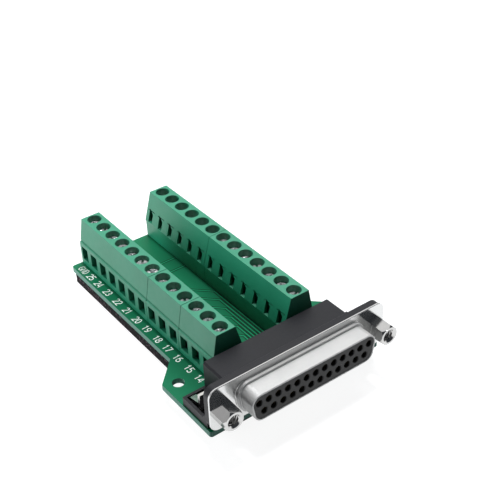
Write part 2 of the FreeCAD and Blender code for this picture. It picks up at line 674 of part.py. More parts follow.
def make_terminal_row(side, blocks):
    """A row of blocks from the rear to the front, with every pole's screw, clamp and pin."""
    wire_side = Rotation(Vector(0, 0, 1), 0 if side > 0 else 180)
    rear_y = FACE_Y + BOARD_REAR_RUN
    used = 0
    for block, labels in blocks:
        poles = len(labels)
        middle = rear_y - (used + poles / 2) * PITCH
        place = Placement(Vector(side * ROW_X, middle, BOARD_TOP), wire_side)
        make_terminal_housing(block, poles, place)
        make_group("wire_clamps_" + block, along_block(wire_clamp(), poles), place)
        make_group("terminal_pins_" + block, along_block(terminal_pin(), poles), place)
        for number, label in enumerate(labels, start=used):
            lift = "lift_raised" if label in RAISED_SCREWS else "lift_" + block
            under_head = BOARD_TOP + size("well_floor") + size(lift)
            axis = Vector(side * ROW_X, rear_y - (number + 0.5) * PITCH, 0)
            turn = (number * size("screw_turn_step")) % 180
            make_terminal_screw("terminal_screw_" + label, under_head, axis, turn)
        used += poles


def leaning_section(wide, rise, run):
    """The wire of a section with a wide top, a narrow foot and ends that lean, at a run."""
    narrow = wide - 2 * rise * math.tan(math.radians(size("shroud_side_slope")))
    corners = [Vector(-wide, run, rise), Vector(wide, run, rise),
               Vector(narrow, run, -rise), Vector(-narrow, run, -rise)]
    return Part.makePolygon(corners + corners[:1])


def d_solid(offset, start_run, end_run):
    """A bar of the shroud's D section, wide side up, between two runs. The section's
    sides all move outwards by the offset, so two of them enclose an even wall."""
    slope = math.radians(size("shroud_side_slope"))
    wide = size("shroud_width") / 2 + offset * math.tan(slope) + offset / math.cos(slope)
    section = leaning_section(wide, size("shroud_height") / 2 + offset, start_run)
    bar = Part.Face(section).extrude(Vector(0, end_run - start_run, 0))
    return bar.makeFillet(size("shroud_corner_radius") + offset, edges_along_y(bar))


def edges_along_y(shape):
    return [edge for edge in shape.Edges
            if abs(edge.Vertexes[0].Y - edge.Vertexes[-1].Y) > 1e-6]


def core_solid(gap, start_run, end_run):
    """A bar of the section that the insulator has behind the flange, less a gap."""
    section = leaning_section(size("core_width") / 2 - gap, size("core_height") / 2 - gap,
                              start_run)
    return Part.Face(section).extrude(Vector(0, end_run - start_run, 0))


def contact_places(row):
    """The X positions of the upper row (13 contacts) or the lower row (12)."""
    count = UPPER_CONTACTS if row == "upper" else LOWER_CONTACTS
    return [(i - (count - 1) / 2) * size("contact_pitch") for i in range(count)]


def contact_level(row):
    """A contact row's height from the socket's centre line."""
    return size("contact_row_spacing") / 2 * (1 if row == "upper" else -1)


def make_connector_shell():
    """The pressed shell: a flange with a drawn D shroud and a step at its root."""
    front, back = size("flange_run"), FLANGE_BACK_RUN
    half = size("flange_width") / 2
    flange = box(Vector(-half, front, -size("flange_height") / 2),
                 Vector(half, back, size("flange_height") / 2))
    flange = flange.makeFillet(size("flange_corner_radius"), edges_along_y(flange))
    step = d_solid(size("root_step"), front - size("root_length"), front)
    shroud = d_solid(0, 0, front)
    outside = flange.fuse([step, shroud])
    seat_front = back - size("shoulder_length") - size("insulator_gap")
    bore = d_solid(-size("shroud_wall"), -OVERCUT, back + OVERCUT)
    seat = d_solid(size("shoulder_step") + size("insulator_gap"), seat_front, back + OVERCUT)
    shape = outside.cut([bore, seat])
    for _, side in SIDES:
        axis = Vector(side * SCREW_X, 0, 0)
        shape = shape.cut(rod(size("flange_hole_bore"), axis + Vector(0, front - OVERCUT, 0),
                              axis + Vector(0, back + OVERCUT, 0)))
    return make_solid("connector_shell", shape.removeSplitter())


def make_solid(label, shape):
    """A one-off sub-part whose frame is at the socket face's centre."""
    solid = doc.addObject("Part::Feature", label)
    solid.Shape = shape
    solid.Placement = Placement(Vector(0, FACE_Y, SOCKET_LEVEL), Rotation())
    return finish(solid, label)


def make_socket_insulator():
    """The moulding that fills the shroud, with a shoulder held behind it and 25 holes."""
    gap = size("insulator_gap")
    back = FLANGE_BACK_RUN
    front = d_solid(-size("shroud_wall") - gap, size("shroud_lip"), back)
    shoulder = d_solid(size("shoulder_step"), back - size("shoulder_length"), back)
    core = core_solid(gap, back, PLATE_BACK_RUN)
    holes = []
    for row in ("upper", "lower"):
        for x in contact_places(row):
            level = contact_level(row)
            holes.append(flat_sided_rod(size("contact_hole_bore"), Vector(x, -OVERCUT, level),
                                        Vector(x, PLATE_BACK_RUN + OVERCUT, level)))
    return make_solid("socket_insulator", front.fuse([shoulder, core]).cut(holes))


def make_contacts(row):
    """One row of contacts: a barrel with a bore, and a square tail down to the board."""
    level = contact_level(row)
    run = size("lower_tail_run") + (size("tail_row_spacing") if row == "upper" else 0)
    start = size("shroud_lip") + size("contact_depth")
    end = PLATE_BACK_RUN - size("contact_end_gap")
    half = size("tail_side") / 2
    bottom = -size("socket_height") - size("board_thickness") - size("tail_length")
    barrel = flat_sided_rod(size("contact_barrel_bore"), Vector(0, start, level),
                            Vector(0, end, level))
    bore = flat_sided_rod(size("contact_pin_bore"), Vector(0, start - OVERCUT, level),
                          Vector(0, start + size("contact_pin_depth"), level))
    tail = box(Vector(-half, end - half, level - half), Vector(half, run + half, level + half))
    leg = box(Vector(-half, run - half, bottom), Vector(half, run + half, level))
    contact = barrel.cut(bore).fuse([tail, leg]).removeSplitter()
    solids = []
    for x in contact_places(row):
        copy = contact.copy()
        copy.translate(Vector(x, 0, 0))
        solids.append(copy)
    place = Placement(Vector(0, FACE_Y, SOCKET_LEVEL), Rotation())
    return make_group("contacts_" + row, solids, place)


def make_connector_bracket():
    """The moulding behind the flange: a plate, a hollow hood over the tails and two feet.
    Its frame is on the board under the socket face."""
    body = new_body("connector_bracket", Placement(Vector(0, FACE_Y, BOARD_TOP), Rotation()))
    plate_run = "(%s + %s)" % (cell("flange_run"), cell("flange_thickness"))
    hood_front = "(%s + %s)" % (plate_run, cell("bracket_plate"))
    level = cell("socket_height")
    half = "(%s / 2 - %s)" % (cell("flange_width"), cell("bracket_margin"))
    rise = "(%s / 2 - %s)" % (cell("flange_height"), cell("bracket_margin"))
    plate = new_sketch(body, "XZ_Plane", "-" + plate_run)
    draw_rectangle(plate, "-" + half, "%s - %s" % (level, rise), half,
                   "%s + %s" % (level, rise))
    pad(body, plate, cell("bracket_plate"), reverse=True)
    round_edges(body, cell("flange_corner_radius"), Vector(0, 1, 0))

    side = cell("hood_width") + " / 2"
    top = "%s + %s" % (level, cell("hood_top"))
    bevel = cell("hood_chamfer")
    hood = new_sketch(body, "XZ_Plane", "-" + hood_front)
    draw_outline(hood, [
        ("-%s" % side, "0"), (side, "0"),
        (side, "%s - %s" % (top, bevel)), ("%s - %s" % (side, bevel), top),
        ("-(%s - %s)" % (side, bevel), top), ("-%s" % side, "%s - %s" % (top, bevel)),
    ])
    pad(body, hood, "%s - %s" % (cell("hood_run"), hood_front), reverse=True)

    outer = "%s + %s" % (side, cell("foot_width"))
    rear = cell("hood_run")
    wall = cell("foot_wall")
    foot = new_sketch(body, "XY_Plane")
    draw_rectangle(foot, side, hood_front, outer, rear)
    foot_pad = pad(body, foot, cell("foot_height"))
    recess = new_sketch(body, "XY_Plane", cell("foot_height"))
    draw_rectangle(recess, "%s + %s" % (side, wall), "%s + %s" % (hood_front, wall),
                   "%s - %s" % (outer, wall), "%s - %s" % (rear, wall))
    foot_pocket = pocket(body, recess, "%s - %s" % (cell("foot_height"), wall))
    gusset = new_sketch(body, "YZ_Plane", "%s - %s / 2" % (outer, wall))
    foot_top = cell("foot_height")
    draw_outline(gusset, [
        (hood_front, foot_top),
        ("%s + %s" % (hood_front, cell("gusset_run")), foot_top),
        (hood_front, "%s + %s" % (foot_top, cell("gusset_height"))),
    ])
    rib = pad(body, gusset, wall, midplane=True)
    stem = new_sketch(body, "XY_Plane")
    stem_x = cell("socket_screw_spacing") + " / 2"
    gap = cell("running_gap")
    draw_rectangle(stem,
                   "%s - %s / 2 - %s" % (stem_x, cell("lock_width"), gap),
                   "%s - %s / 2 - %s" % (cell("lock_run"), cell("lock_thickness"), gap),
                   "%s + %s / 2 + %s" % (stem_x, cell("lock_width"), gap),
                   "%s + %s / 2 + %s" % (cell("lock_run"), cell("lock_thickness"), gap))
    stem_hole = pocket(body, stem)
    seat = new_sketch(body, "XZ_Plane", "-" + plate_run)
    draw_circle(seat, stem_x, level, cell("insert_seat_bore"))
    seat_hole = pocket(body, seat, cell("bracket_plate"))
    mirror(body, [foot_pad, foot_pocket, rib, stem_hole, seat_hole], "YZ_Plane")

    inner = "%s - %s" % (side, cell("hood_side_wall"))
    hollow = new_sketch(body, "XY_Plane")
    draw_rectangle(hollow, "-(%s)" % inner, hood_front, inner,
                   "%s - %s" % (rear, cell("hood_wall")))
    pocket(body, hollow, "%s - %s" % (top, cell("hood_wall")), reverse=True)

    half_core = cell("core_width") + " / 2"
    rise_core = cell("core_height") + " / 2"
    narrow = "(%s - %s * tan(%s * 1 deg))" % (half_core, cell("core_height"),
                                              cell("shroud_side_slope"))
    opening = new_sketch(body, "XZ_Plane", "-" + plate_run)
    draw_outline(opening, [
        ("-" + narrow, "%s - %s" % (level, rise_core)), (narrow, "%s - %s" % (level, rise_core)),
        (half_core, "%s + %s" % (level, rise_core)),
        ("-%s" % half_core, "%s + %s" % (level, rise_core)),
    ])
    pocket(body, opening, cell("bracket_plate"))
    return body


def make_jackscrew(label, side):
    """A hexagon with chamfered ends, a threaded hole in its face and a stud behind. Its
    frame is on its face, with Z rearwards."""
    across = cell("jack_hex")
    length = "(%s - %s)" % (cell("flange_run"), cell("jack_face_run"))
    hexagon = bind(doc.addObject("Part::Prism", label + "_hexagon"),
                   Circumradius="%s / 2 / cos(30 deg)" % across, Height=length)
    hexagon.Polygon = 6
    envelope = bind(doc.addObject("Part::Cone", label + "_chamfer"),
                    Radius1="%s / 2" % across, Height=length,
                    Radius2="%s / 2 + %s * %s / %s" % (across, cell("jack_chamfer"), length,
                                                       cell("jack_chamfer_length")))
    turned = doc.addObject("Part::Common", label + "_turned")
    turned.Base = hexagon
    turned.Tool = envelope
    stud = bind(doc.addObject("Part::Cylinder", label + "_stud"),
                Radius=cell("jack_stud_bore") + " / 2",
                Height="%s + %s + %s + %s - %s" % (
                    length, cell("flange_thickness"), cell("bracket_plate"),
                    cell("insert_end"), cell("jack_stud_inset")))
    solid = doc.addObject("Part::Fuse", label + "_solid")
    solid.Base = turned
    solid.Tool = stud
    bore = bind(doc.addObject("Part::Cylinder", label + "_bore"),
                Radius=cell("jack_bore") + " / 2", Height=cell("jack_bore_depth"))
    sink = bind(doc.addObject("Part::Cone", label + "_sink"),
                Radius1="%s / 2 + %s" % (cell("jack_bore"), cell("jack_bore_chamfer")),
                Radius2=cell("jack_bore") + " / 2", Height=cell("jack_bore_chamfer"))
    hole = doc.addObject("Part::Fuse", label + "_hole")
    hole.Base = bore
    hole.Tool = sink
    jackscrew = doc.addObject("Part::Cut", label)
    jackscrew.Base = solid
    jackscrew.Tool = hole
    place = Vector(side * SCREW_X, FACE_Y + size("jack_face_run"), SOCKET_LEVEL)
    turn = Rotation(Vector(0, 0, 1), -size(label.replace("screw", "_turn")))
    jackscrew.Placement = Placement(place, Rotation(Vector(1, 0, 0), -90) * turn)
    return finish(jackscrew, label)


def make_thread_insert(label, side):
    """The tapped bush in the bracket that the jackscrew's stud goes into."""
    length = "%s + %s" % (cell("bracket_plate"), cell("insert_end"))
    bush = bind(doc.addObject("Part::Cylinder", label + "_bush"),
                Radius=cell("insert_seat_bore") + " / 2", Height=length)
    bore = bind(doc.addObject("Part::Cylinder", label + "_bore"),
                Radius=cell("insert_bore") + " / 2", Height=length)
    insert = doc.addObject("Part::Cut", label)
    insert.Base = bush
    insert.Tool = bore
    place = Vector(side * SCREW_X, FACE_Y + FLANGE_BACK_RUN, SOCKET_LEVEL)
    insert.Placement = Placement(place, Rotation(Vector(1, 0, 0), -90))
    return finish(insert, label)


def make_board_lock(label, side):
    """The spring clip beside the hood: a strip that stands in the foot, an arm behind it and
    a barbed end through the board. Its frame is on the board under the socket face."""
    body = new_body(label, Placement(Vector(side * SCREW_X, FACE_Y, BOARD_TOP), Rotation()))
    thick = cell("lock_thickness")
    strip_front = "%s - %s / 2" % (cell("lock_run"), thick)
    strip_back = "%s + %s / 2" % (cell("lock_run"), thick)
    arm = cell("lock_arm_height")
    arm_end = "%s - %s - %s" % (cell("hood_run"), cell("foot_wall"), cell("lock_arm_gap"))
    under = "-" + cell("board_thickness")
    foot = "%s - %s" % (under, cell("tail_length"))
    barb = cell("lock_barb")
    outline = new_sketch(body, "YZ_Plane")
    draw_outline(outline, [
        (strip_front, foot),
        (strip_back, foot),
        ("%s + %s" % (strip_back, barb), under),
        (strip_back, under),
        (strip_back, "%s - %s" % (arm, thick)),
        (arm_end, "%s - %s - %s" % (arm, thick, cell("lock_arm_drop"))),
        (arm_end, "%s - %s" % (arm, cell("lock_arm_drop"))),
        (strip_back, arm),
        (strip_back, cell("lock_height")),
        (strip_front, cell("lock_height")),
        (strip_front, under),
        ("%s - %s" % (strip_front, barb), under),
    ])
    pad(body, outline, cell("lock_width"), midplane=True)
    return body


make_circuit_board()
make_base_pad()
make_terminal_row(-1, LEFT_BLOCKS)
make_terminal_row(1, RIGHT_BLOCKS)
make_connector_shell()
make_socket_insulator()
make_contacts("upper")
make_contacts("lower")
make_connector_bracket()
for side_name, side_sign in SIDES:
    make_jackscrew("jackscrew_" + side_name, side_sign)
    make_thread_insert("thread_insert_" + side_name, side_sign)
    make_board_lock("board_lock_" + side_name, side_sign)
doc.recompute()

for obj in doc.Objects:
    if "Invalid" in obj.State or "Error" in obj.State:
        raise RuntimeError("%s is not sound: %s" % (obj.Label, obj.State))
for part in parts:
    if part.Shape.isNull() or not part.Shape.isValid():
        raise RuntimeError("%s has no sound shape" % part.Label)

os.makedirs("parts", exist_ok=True)
for part in parts:
    part.Shape.exportStep("parts/%s.step" % part.Label)
print("wrote %d sub-parts" % len(parts))
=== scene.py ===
import bpy
import bmesh
import math
from mathutils import Matrix, Vector


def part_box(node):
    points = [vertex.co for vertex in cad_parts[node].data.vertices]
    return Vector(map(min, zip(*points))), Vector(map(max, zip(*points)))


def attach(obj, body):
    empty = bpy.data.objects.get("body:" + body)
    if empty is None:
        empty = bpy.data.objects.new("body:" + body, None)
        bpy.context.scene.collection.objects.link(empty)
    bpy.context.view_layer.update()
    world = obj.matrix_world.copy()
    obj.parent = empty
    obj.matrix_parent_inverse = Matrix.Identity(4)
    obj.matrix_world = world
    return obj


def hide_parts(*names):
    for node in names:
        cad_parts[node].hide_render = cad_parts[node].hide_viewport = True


# The looks of a D-sub socket broken out to two rows of screw terminals. Lengths are in
# metres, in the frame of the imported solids: +Z up, and the socket faces -Y.

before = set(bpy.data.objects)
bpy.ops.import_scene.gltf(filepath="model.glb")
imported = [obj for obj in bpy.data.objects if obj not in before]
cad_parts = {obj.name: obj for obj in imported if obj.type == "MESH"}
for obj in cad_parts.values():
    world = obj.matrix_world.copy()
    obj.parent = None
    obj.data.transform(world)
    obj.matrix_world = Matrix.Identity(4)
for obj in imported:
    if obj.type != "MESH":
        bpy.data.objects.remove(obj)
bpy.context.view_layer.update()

MM = 0.001
scene = bpy.context.scene
CARRIER = "adapter"

# Where things are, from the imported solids.
BOARD_LOW, BOARD_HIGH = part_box("circuit_board")
BOARD_TOP = BOARD_HIGH[2]
BOARD_UNDERSIDE = BOARD_LOW[2]
SHELL_LOW, SHELL_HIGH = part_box("connector_shell")
SOCKET_FACE_Y = SHELL_LOW[1]
SOCKET_LEVEL = (SHELL_LOW[2] + SHELL_HIGH[2]) / 2
SHROUD_LENGTH = 5.35 * MM
HOOD_REAR_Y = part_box("connector_bracket")[1][1]
INSULATOR_LOW, INSULATOR_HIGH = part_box("socket_insulator")

POLES = 13
POLE_PITCH = 5.08 * MM
ROW_X = 11.4 * MM
FIRST_POLE_Y = BOARD_HIGH[1] - POLE_PITCH / 2
HOUSINGS = {"left_rear": 7, "left_middle": 3, "left_front": 3, "right_rear": 6, "right_front": 7}
LEFT_LABELS = ["gnd"] + ["%02d" % number for number in range(25, 13, -1)]
RIGHT_LABELS = ["%02d" % number for number in range(13, 0, -1)]

# Radii of the corners, as each kind of part has them.
BLOCK_EDGE = 0.12 * MM
SCREW_EDGE = 0.09 * MM
INSULATOR_EDGE = 0.08 * MM
SHELL_EDGE = 0.1 * MM
BRACKET_EDGE = 0.18 * MM
JACKSCREW_EDGE = 0.07 * MM
SHARP_ANGLE = math.radians(35)

# Points closer than this are one, and triangles that turn by less are one face.
SAME_POINT = 0.0005 * MM
SAME_FACE = math.radians(0.5)


# Small helpers

def linear(colour):
    """A colour written in sRGB hex as the linear values that Blender works in."""
    channels = [int(colour[i:i + 2], 16) / 255 for i in (1, 3, 5)]
    return [c / 12.92 if c <= 0.04045 else ((c + 0.055) / 1.055) ** 2.4 for c in channels] + [1.0]


def add(tree, kind, inputs=None, **settings):
    """A node with its settings, and its sockets set to values or linked to other sockets."""
    node = tree.nodes.new(kind)
    for name, value in settings.items():
        setattr(node, name, value)
    for name, value in (inputs or {}).items():
        if isinstance(value, bpy.types.NodeSocket):
            tree.links.new(value, node.inputs[name])
        else:
            node.inputs[name].default_value = value
    return node


def new_material(name, **numbers):
    """A material with an empty tree, and the settings that stay even over its surface."""
    material = bpy.data.materials.new(name)
    material.use_nodes = True
    tree = material.node_tree
    tree.nodes.clear()
    shader = add(tree, "ShaderNodeBsdfPrincipled", {
        socket.replace("_", " "): value for socket, value in numbers.items()})
    add(tree, "ShaderNodeOutputMaterial", {"Surface": shader.outputs["BSDF"]})
    return material, tree, shader


def per_mm(millimetres):
    """The scale at which a texture repeats about once in a length."""
    return 1 / (millimetres * MM)


def give(material, *starts):
    """Puts one material on the solids whose names start so."""
    for name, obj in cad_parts.items():
        if name.startswith(starts):
            obj.data.materials.clear()
            obj.data.materials.append(material)


def new_piece(name, mesh, body, material=None):
    """A finished piece: its mesh carries its place, and it rides on a body."""
    if material is not None:
        mesh.materials.clear()
        mesh.materials.append(material)
    piece = bpy.data.objects.new(name, mesh)
    scene.collection.objects.link(piece)
    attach(piece, body)
    return piece


def round_edges(piece, radius):
    """A real moulding or wear radius on every corner, with the flat faces kept flat."""
    piece.data.shade_smooth()
    piece.data.set_sharp_from_angle(angle=SHARP_ANGLE)
    bevel = piece.modifiers.new("rounded_edges", "BEVEL")
    bevel.width = radius
    bevel.segments = 2
    bevel.limit_method = "ANGLE"
    bevel.angle_limit = SHARP_ANGLE
    bevel.use_clamp_overlap = True
    flat = piece.modifiers.new("flat_faces", "WEIGHTED_NORMAL")
    flat.mode = "FACE_AREA"
    flat.weight = 100
    flat.keep_sharp = True


def rounded_copy(node, radius, material):
    """A copy of a solid's mesh with its triangles joined and its corners rounded."""
    work = bmesh.new()
    work.from_mesh(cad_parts[node].data)
    bmesh.ops.remove_doubles(work, verts=work.verts, dist=SAME_POINT)
    bmesh.ops.dissolve_limit(work, angle_limit=SAME_FACE, verts=work.verts, edges=work.edges)
    mesh = bpy.data.meshes.new(node + "_rounded")
    work.to_mesh(mesh)
    work.free()
    piece = new_piece(node + "_rounded", mesh, CARRIER, material)
    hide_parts(node)
    round_edges(piece, radius)
    return piece


def shape_tree(name, sizes):
    """A Geometry Nodes tree with a named input for each size. Gives it with its sockets."""
    tree = bpy.data.node_groups.new(name, "GeometryNodeTree")
    tree.interface.new_socket("Geometry", in_out="OUTPUT", socket_type="NodeSocketGeometry")
    sockets = {"Geometry": "Geometry", **sizes, "Material": "Material"}
    for socket, kind in sockets.items():
        tree.interface.new_socket(socket, in_out="INPUT", socket_type="NodeSocket" + kind)
    return tree, add(tree, "NodeGroupInput").outputs


def close_tree(tree, size, geometry):
    """Ends a tree with real geometry that carries the material."""
    real = add(tree, "GeometryNodeRealizeInstances", {"Geometry": geometry})
    painted = add(tree, "GeometryNodeSetMaterial", {
        "Geometry": real.outputs["Geometry"], "Material": size["Material"]})
    add(tree, "NodeGroupOutput", {"Geometry": painted.outputs["Geometry"]})


def grow(tree, base, values):
    """Runs a tree on a mesh or a curve, and gives the result as a plain mesh."""
    holder = bpy.data.objects.new(tree.name, base)
    scene.collection.objects.link(holder)
    modifier = holder.modifiers.new(tree.name, "NODES")
    modifier.node_group = tree
    for item in tree.interface.items_tree:
        if item.in_out == "INPUT" and item.name in values:
            modifier[item.identifier] = values[item.name]
    bpy.context.view_layer.update()
    depsgraph = bpy.context.evaluated_depsgraph_get()
    mesh = bpy.data.meshes.new_from_object(holder.evaluated_get(depsgraph),
                                           depsgraph=depsgraph)
    bpy.data.objects.remove(holder)
    return mesh


def prism_mesh(name, outline, low, high):
    """A closed bar along Y whose section is an outline of (x, z) points."""
    work = bmesh.new()
    near = [work.verts.new((x, low, z)) for x, z in outline]
    far = [work.verts.new((x, high, z)) for x, z in outline]
    work.faces.new(near)
    work.faces.new(far[::-1])
    for i in range(len(outline)):
        work.faces.new((near[i - 1], far[i - 1], far[i], near[i]))
    bmesh.ops.recalc_face_normals(work, faces=work.faces)
    mesh = bpy.data.meshes.new(name)
    work.to_mesh(mesh)
    work.free()
    return mesh


# Materials

def green_polyamide():
    # Polyamide 6.6, injection moulded: an even saturated green with a soft satin gloss,
    # faint flow clouds and a very fine grain from the spark-eroded mould.
    material, tree, shader = new_material("polyamide_moulded_green", IOR=1.53,
                                          Specular_IOR_Level=0.85)
    place = add(tree, "ShaderNodeTexCoord").outputs["Object"]
    clouds = add(tree, "ShaderNodeTexNoise", {"Vector": place, "Scale": per_mm(9), "Detail": 2.0})
    colour = add(tree, "ShaderNodeMix", {
        "Factor": clouds.outputs["Fac"], "A": linear("#147053"), "B": linear("#1f8063")},
        data_type="RGBA")
    haze = add(tree, "ShaderNodeTexNoise", {"Vector": place, "Scale": per_mm(1.4), "Detail": 3.0})
    gloss = add(tree, "ShaderNodeMapRange", {
        "Value": haze.outputs["Fac"], "To Min": 0.42, "To Max": 0.54})
    grain = add(tree, "ShaderNodeTexNoise", {"Vector": place, "Scale": per_mm(0.12),
                                             "Detail": 2.0})
    bump = add(tree, "ShaderNodeBump", {
        "Height": grain.outputs["Fac"], "Distance": 0.004 * MM, "Strength": 0.5})
    tree.links.new(colour.outputs["Result"], shader.inputs["Base Color"])
    tree.links.new(gloss.outputs["Result"], shader.inputs["Roughness"])
    tree.links.new(bump.outputs["Normal"], shader.inputs["Normal"])
    return material


def masked_laminate():
    # Glass-fibre laminate under green solder mask: a glossy dark green coat on the faces,
    # and a routed edge of bare laminate that shows pale and fibrous.
    material, tree, shader = new_material("laminate_masked_green", IOR=1.5,
                                          Specular_IOR_Level=0.2)
    place = add(tree, "ShaderNodeTexCoord").outputs["Object"]
    normal = add(tree, "ShaderNodeNewGeometry").outputs["Normal"]
    upward = add(tree, "ShaderNodeSeparateXYZ", {"Vector": normal}).outputs["Z"]
    level = add(tree, "ShaderNodeMath", {0: upward}, operation="ABSOLUTE").outputs[0]
    flat = add(tree, "ShaderNodeMath", {0: level, 1: 0.7}, operation="GREATER_THAN").outputs[0]
    clouds = add(tree, "ShaderNodeTexNoise", {"Vector": place, "Scale": per_mm(14), "Detail": 2.0})
    face = add(tree, "ShaderNodeMix", {
        "Factor": clouds.outputs["Fac"], "A": linear("#085d3e"), "B": linear("#0c6b49")},
        data_type="RGBA")
    fibres = add(tree, "ShaderNodeTexNoise", {
        "Vector": add(tree, "ShaderNodeMapping", {
            "Vector": place, "Scale": (1, 1, 6)}).outputs["Vector"],
        "Scale": per_mm(0.9), "Detail": 3.0})
    edge = add(tree, "ShaderNodeMix", {
        "Factor": fibres.outputs["Fac"], "A": linear("#5d8a7c"), "B": linear("#83aa9d")},
        data_type="RGBA")
    colour = add(tree, "ShaderNodeMix", {
        "Factor": flat, "A": edge.outputs["Result"], "B": face.outputs["Result"]},
        data_type="RGBA")
    gloss = add(tree, "ShaderNodeMapRange", {"Value": flat, "To Min": 0.8, "To Max": 0.42})
    ripple = add(tree, "ShaderNodeTexNoise", {"Vector": place, "Scale": per_mm(0.6)})
    bump = add(tree, "ShaderNodeBump", {
        "Height": ripple.outputs["Fac"], "Distance": 0.006 * MM, "Strength": 0.4})
    tree.links.new(colour.outputs["Result"], shader.inputs["Base Color"])
    tree.links.new(gloss.outputs["Result"], shader.inputs["Roughness"])
    tree.links.new(bump.outputs["Normal"], shader.inputs["Normal"])
    return material


def cut_foam():
    # Closed-cell rubber foam, cut from a sheet: dull and dark, speckled with lighter and
    # reddish grains, with the cut cells as shallow pits.
    material, tree, shader = new_material("rubber_foam_cut", Roughness=0.95,
                                          Specular_IOR_Level=0.2)
    place = add(tree, "ShaderNodeTexCoord").outputs["Object"]
    cells = add(tree, "ShaderNodeTexVoronoi", {"Vector": place, "Scale": per_mm(0.5)})
    shade = add(tree, "ShaderNodeSeparateXYZ", {"Vector": cells.outputs["Color"]})
    dust = add(tree, "ShaderNodeMix", {
        "Factor": shade.outputs["X"], "A": linear("#121113"), "B": linear("#262426")},
        data_type="RGBA")
    fleck = add(tree, "ShaderNodeMath", {0: shade.outputs["Y"], 1: 0.88},
                operation="GREATER_THAN")
    colour = add(tree, "ShaderNodeMix", {
        "Factor": fleck.outputs[0], "A": dust.outputs["Result"], "B": linear("#54454b")},
        data_type="RGBA")
    bump = add(tree, "ShaderNodeBump", {
        "Height": cells.outputs["Distance"], "Distance": 0.08 * MM, "Strength": 0.6})
    tree.links.new(colour.outputs["Result"], shader.inputs["Base Color"])
    tree.links.new(bump.outputs["Normal"], shader.inputs["Normal"])
    return material


def plated_metal(name, dark, light, mark_size, rough_low, rough_high, bump_depth,
                 metallic=1.0):
    """A plated metal: two close tones in soft patches, and a gloss that changes with them."""
    material, tree, shader = new_material(name, Metallic=metallic)
    place = add(tree, "ShaderNodeTexCoord").outputs["Object"]
    patches = add(tree, "ShaderNodeTexNoise", {
        "Vector": place, "Scale": per_mm(mark_size), "Detail": 3.0})
    colour = add(tree, "ShaderNodeMix", {
        "Factor": patches.outputs["Fac"], "A": linear(dark), "B": linear(light)},
        data_type="RGBA")
    gloss = add(tree, "ShaderNodeMapRange", {
        "Value": patches.outputs["Fac"], "To Min": rough_low, "To Max": rough_high})
    grain = add(tree, "ShaderNodeTexNoise", {
        "Vector": place, "Scale": per_mm(mark_size / 5), "Detail": 2.0})
    bump = add(tree, "ShaderNodeBump", {
        "Height": grain.outputs["Fac"], "Distance": bump_depth * MM, "Strength": 0.5})
    tree.links.new(colour.outputs["Result"], shader.inputs["Base Color"])
    tree.links.new(gloss.outputs["Result"], shader.inputs["Roughness"])
    tree.links.new(bump.outputs["Normal"], shader.inputs["Normal"])
    return material


def moulded_nylon(name, dark, light):
    # Glass-filled nylon, injection moulded black: matt, with a fine spark-eroded grain and
    # a weak grey sheen.
    material, tree, shader = new_material(name, IOR=1.52, Specular_IOR_Level=0.35)
    place = add(tree, "ShaderNodeTexCoord").outputs["Object"]
    clouds = add(tree, "ShaderNodeTexNoise", {"Vector": place, "Scale": per_mm(6), "Detail": 3.0})
    colour = add(tree, "ShaderNodeMix", {
        "Factor": clouds.outputs["Fac"], "A": linear(dark), "B": linear(light)},
        data_type="RGBA")
    haze = add(tree, "ShaderNodeTexNoise", {"Vector": place, "Scale": per_mm(0.8), "Detail": 3.0})
    gloss = add(tree, "ShaderNodeMapRange", {
        "Value": haze.outputs["Fac"], "To Min": 0.42, "To Max": 0.56})
    grain = add(tree, "ShaderNodeTexNoise", {"Vector": place, "Scale": per_mm(0.12),
                                             "Detail": 2.0})
    bump = add(tree, "ShaderNodeBump", {
        "Height": grain.outputs["Fac"], "Distance": 0.006 * MM, "Strength": 0.6})
    tree.links.new(colour.outputs["Result"], shader.inputs["Base Color"])
    tree.links.new(gloss.outputs["Result"], shader.inputs["Roughness"])
    tree.links.new(bump.outputs["Normal"], shader.inputs["Normal"])
    return material


def printed_ink():
    # Epoxy ink, screen printed: a thin opaque white film, matt and slightly uneven.
    material, tree, shader = new_material("epoxy_ink_printed_white", Roughness=0.6)
    place = add(tree, "ShaderNodeTexCoord").outputs["Object"]
    cover = add(tree, "ShaderNodeTexNoise", {"Vector": place, "Scale": per_mm(0.3),
                                             "Detail": 3.0})
    colour = add(tree, "ShaderNodeMix", {
        "Factor": cover.outputs["Fac"], "A": linear("#eaf4ef"), "B": linear("#fdfffe")},
        data_type="RGBA")
    tree.links.new(colour.outputs["Result"], shader.inputs["Base Color"])
    return material


def covered_copper(name, dark, light):
    # Copper track under green solder mask: the metal lifts the green to a lighter, warmer
    # tone, and the mask keeps its gloss over it.
    material, tree, shader = new_material(name, Roughness=0.42, Specular_IOR_Level=0.2)
    place = add(tree, "ShaderNodeTexCoord").outputs["Object"]
    clouds = add(tree, "ShaderNodeTexNoise", {"Vector": place, "Scale": per_mm(5), "Detail": 2.0})
    colour = add(tree, "ShaderNodeMix", {
        "Factor": clouds.outputs["Fac"], "A": linear(dark), "B": linear(light)},
        data_type="RGBA")
    tree.links.new(colour.outputs["Result"], shader.inputs["Base Color"])
    return material


HOUSING = green_polyamide()
BOARD = masked_laminate()
FOAM = cut_foam()
# Steel sheet, deep drawn and bright nickel plated: a soft mirror with faint drawing marks.
SHEET_NICKEL = plated_metal("nickel_plated_sheet", "#d4d5d5", "#dfdfde", 9.0, 0.14, 0.2, 0.0006)
# The same sheet where the die has drawn it out: its shine is scuffed to an even satin that
# scatters some of the light.
DRAWN_NICKEL = plated_metal("nickel_plated_sheet_drawn", "#bcbdbd", "#cacac9", 3.0, 0.4, 0.48,
                            0.002, metallic=0.5)
# Brass bar, turned and bright nickel plated: a hard mirror.
TURNED_NICKEL = plated_metal("nickel_plated_brass_turned", "#bdbdbc", "#cfcecd", 2.0, 0.1, 0.18,
                             0.001)
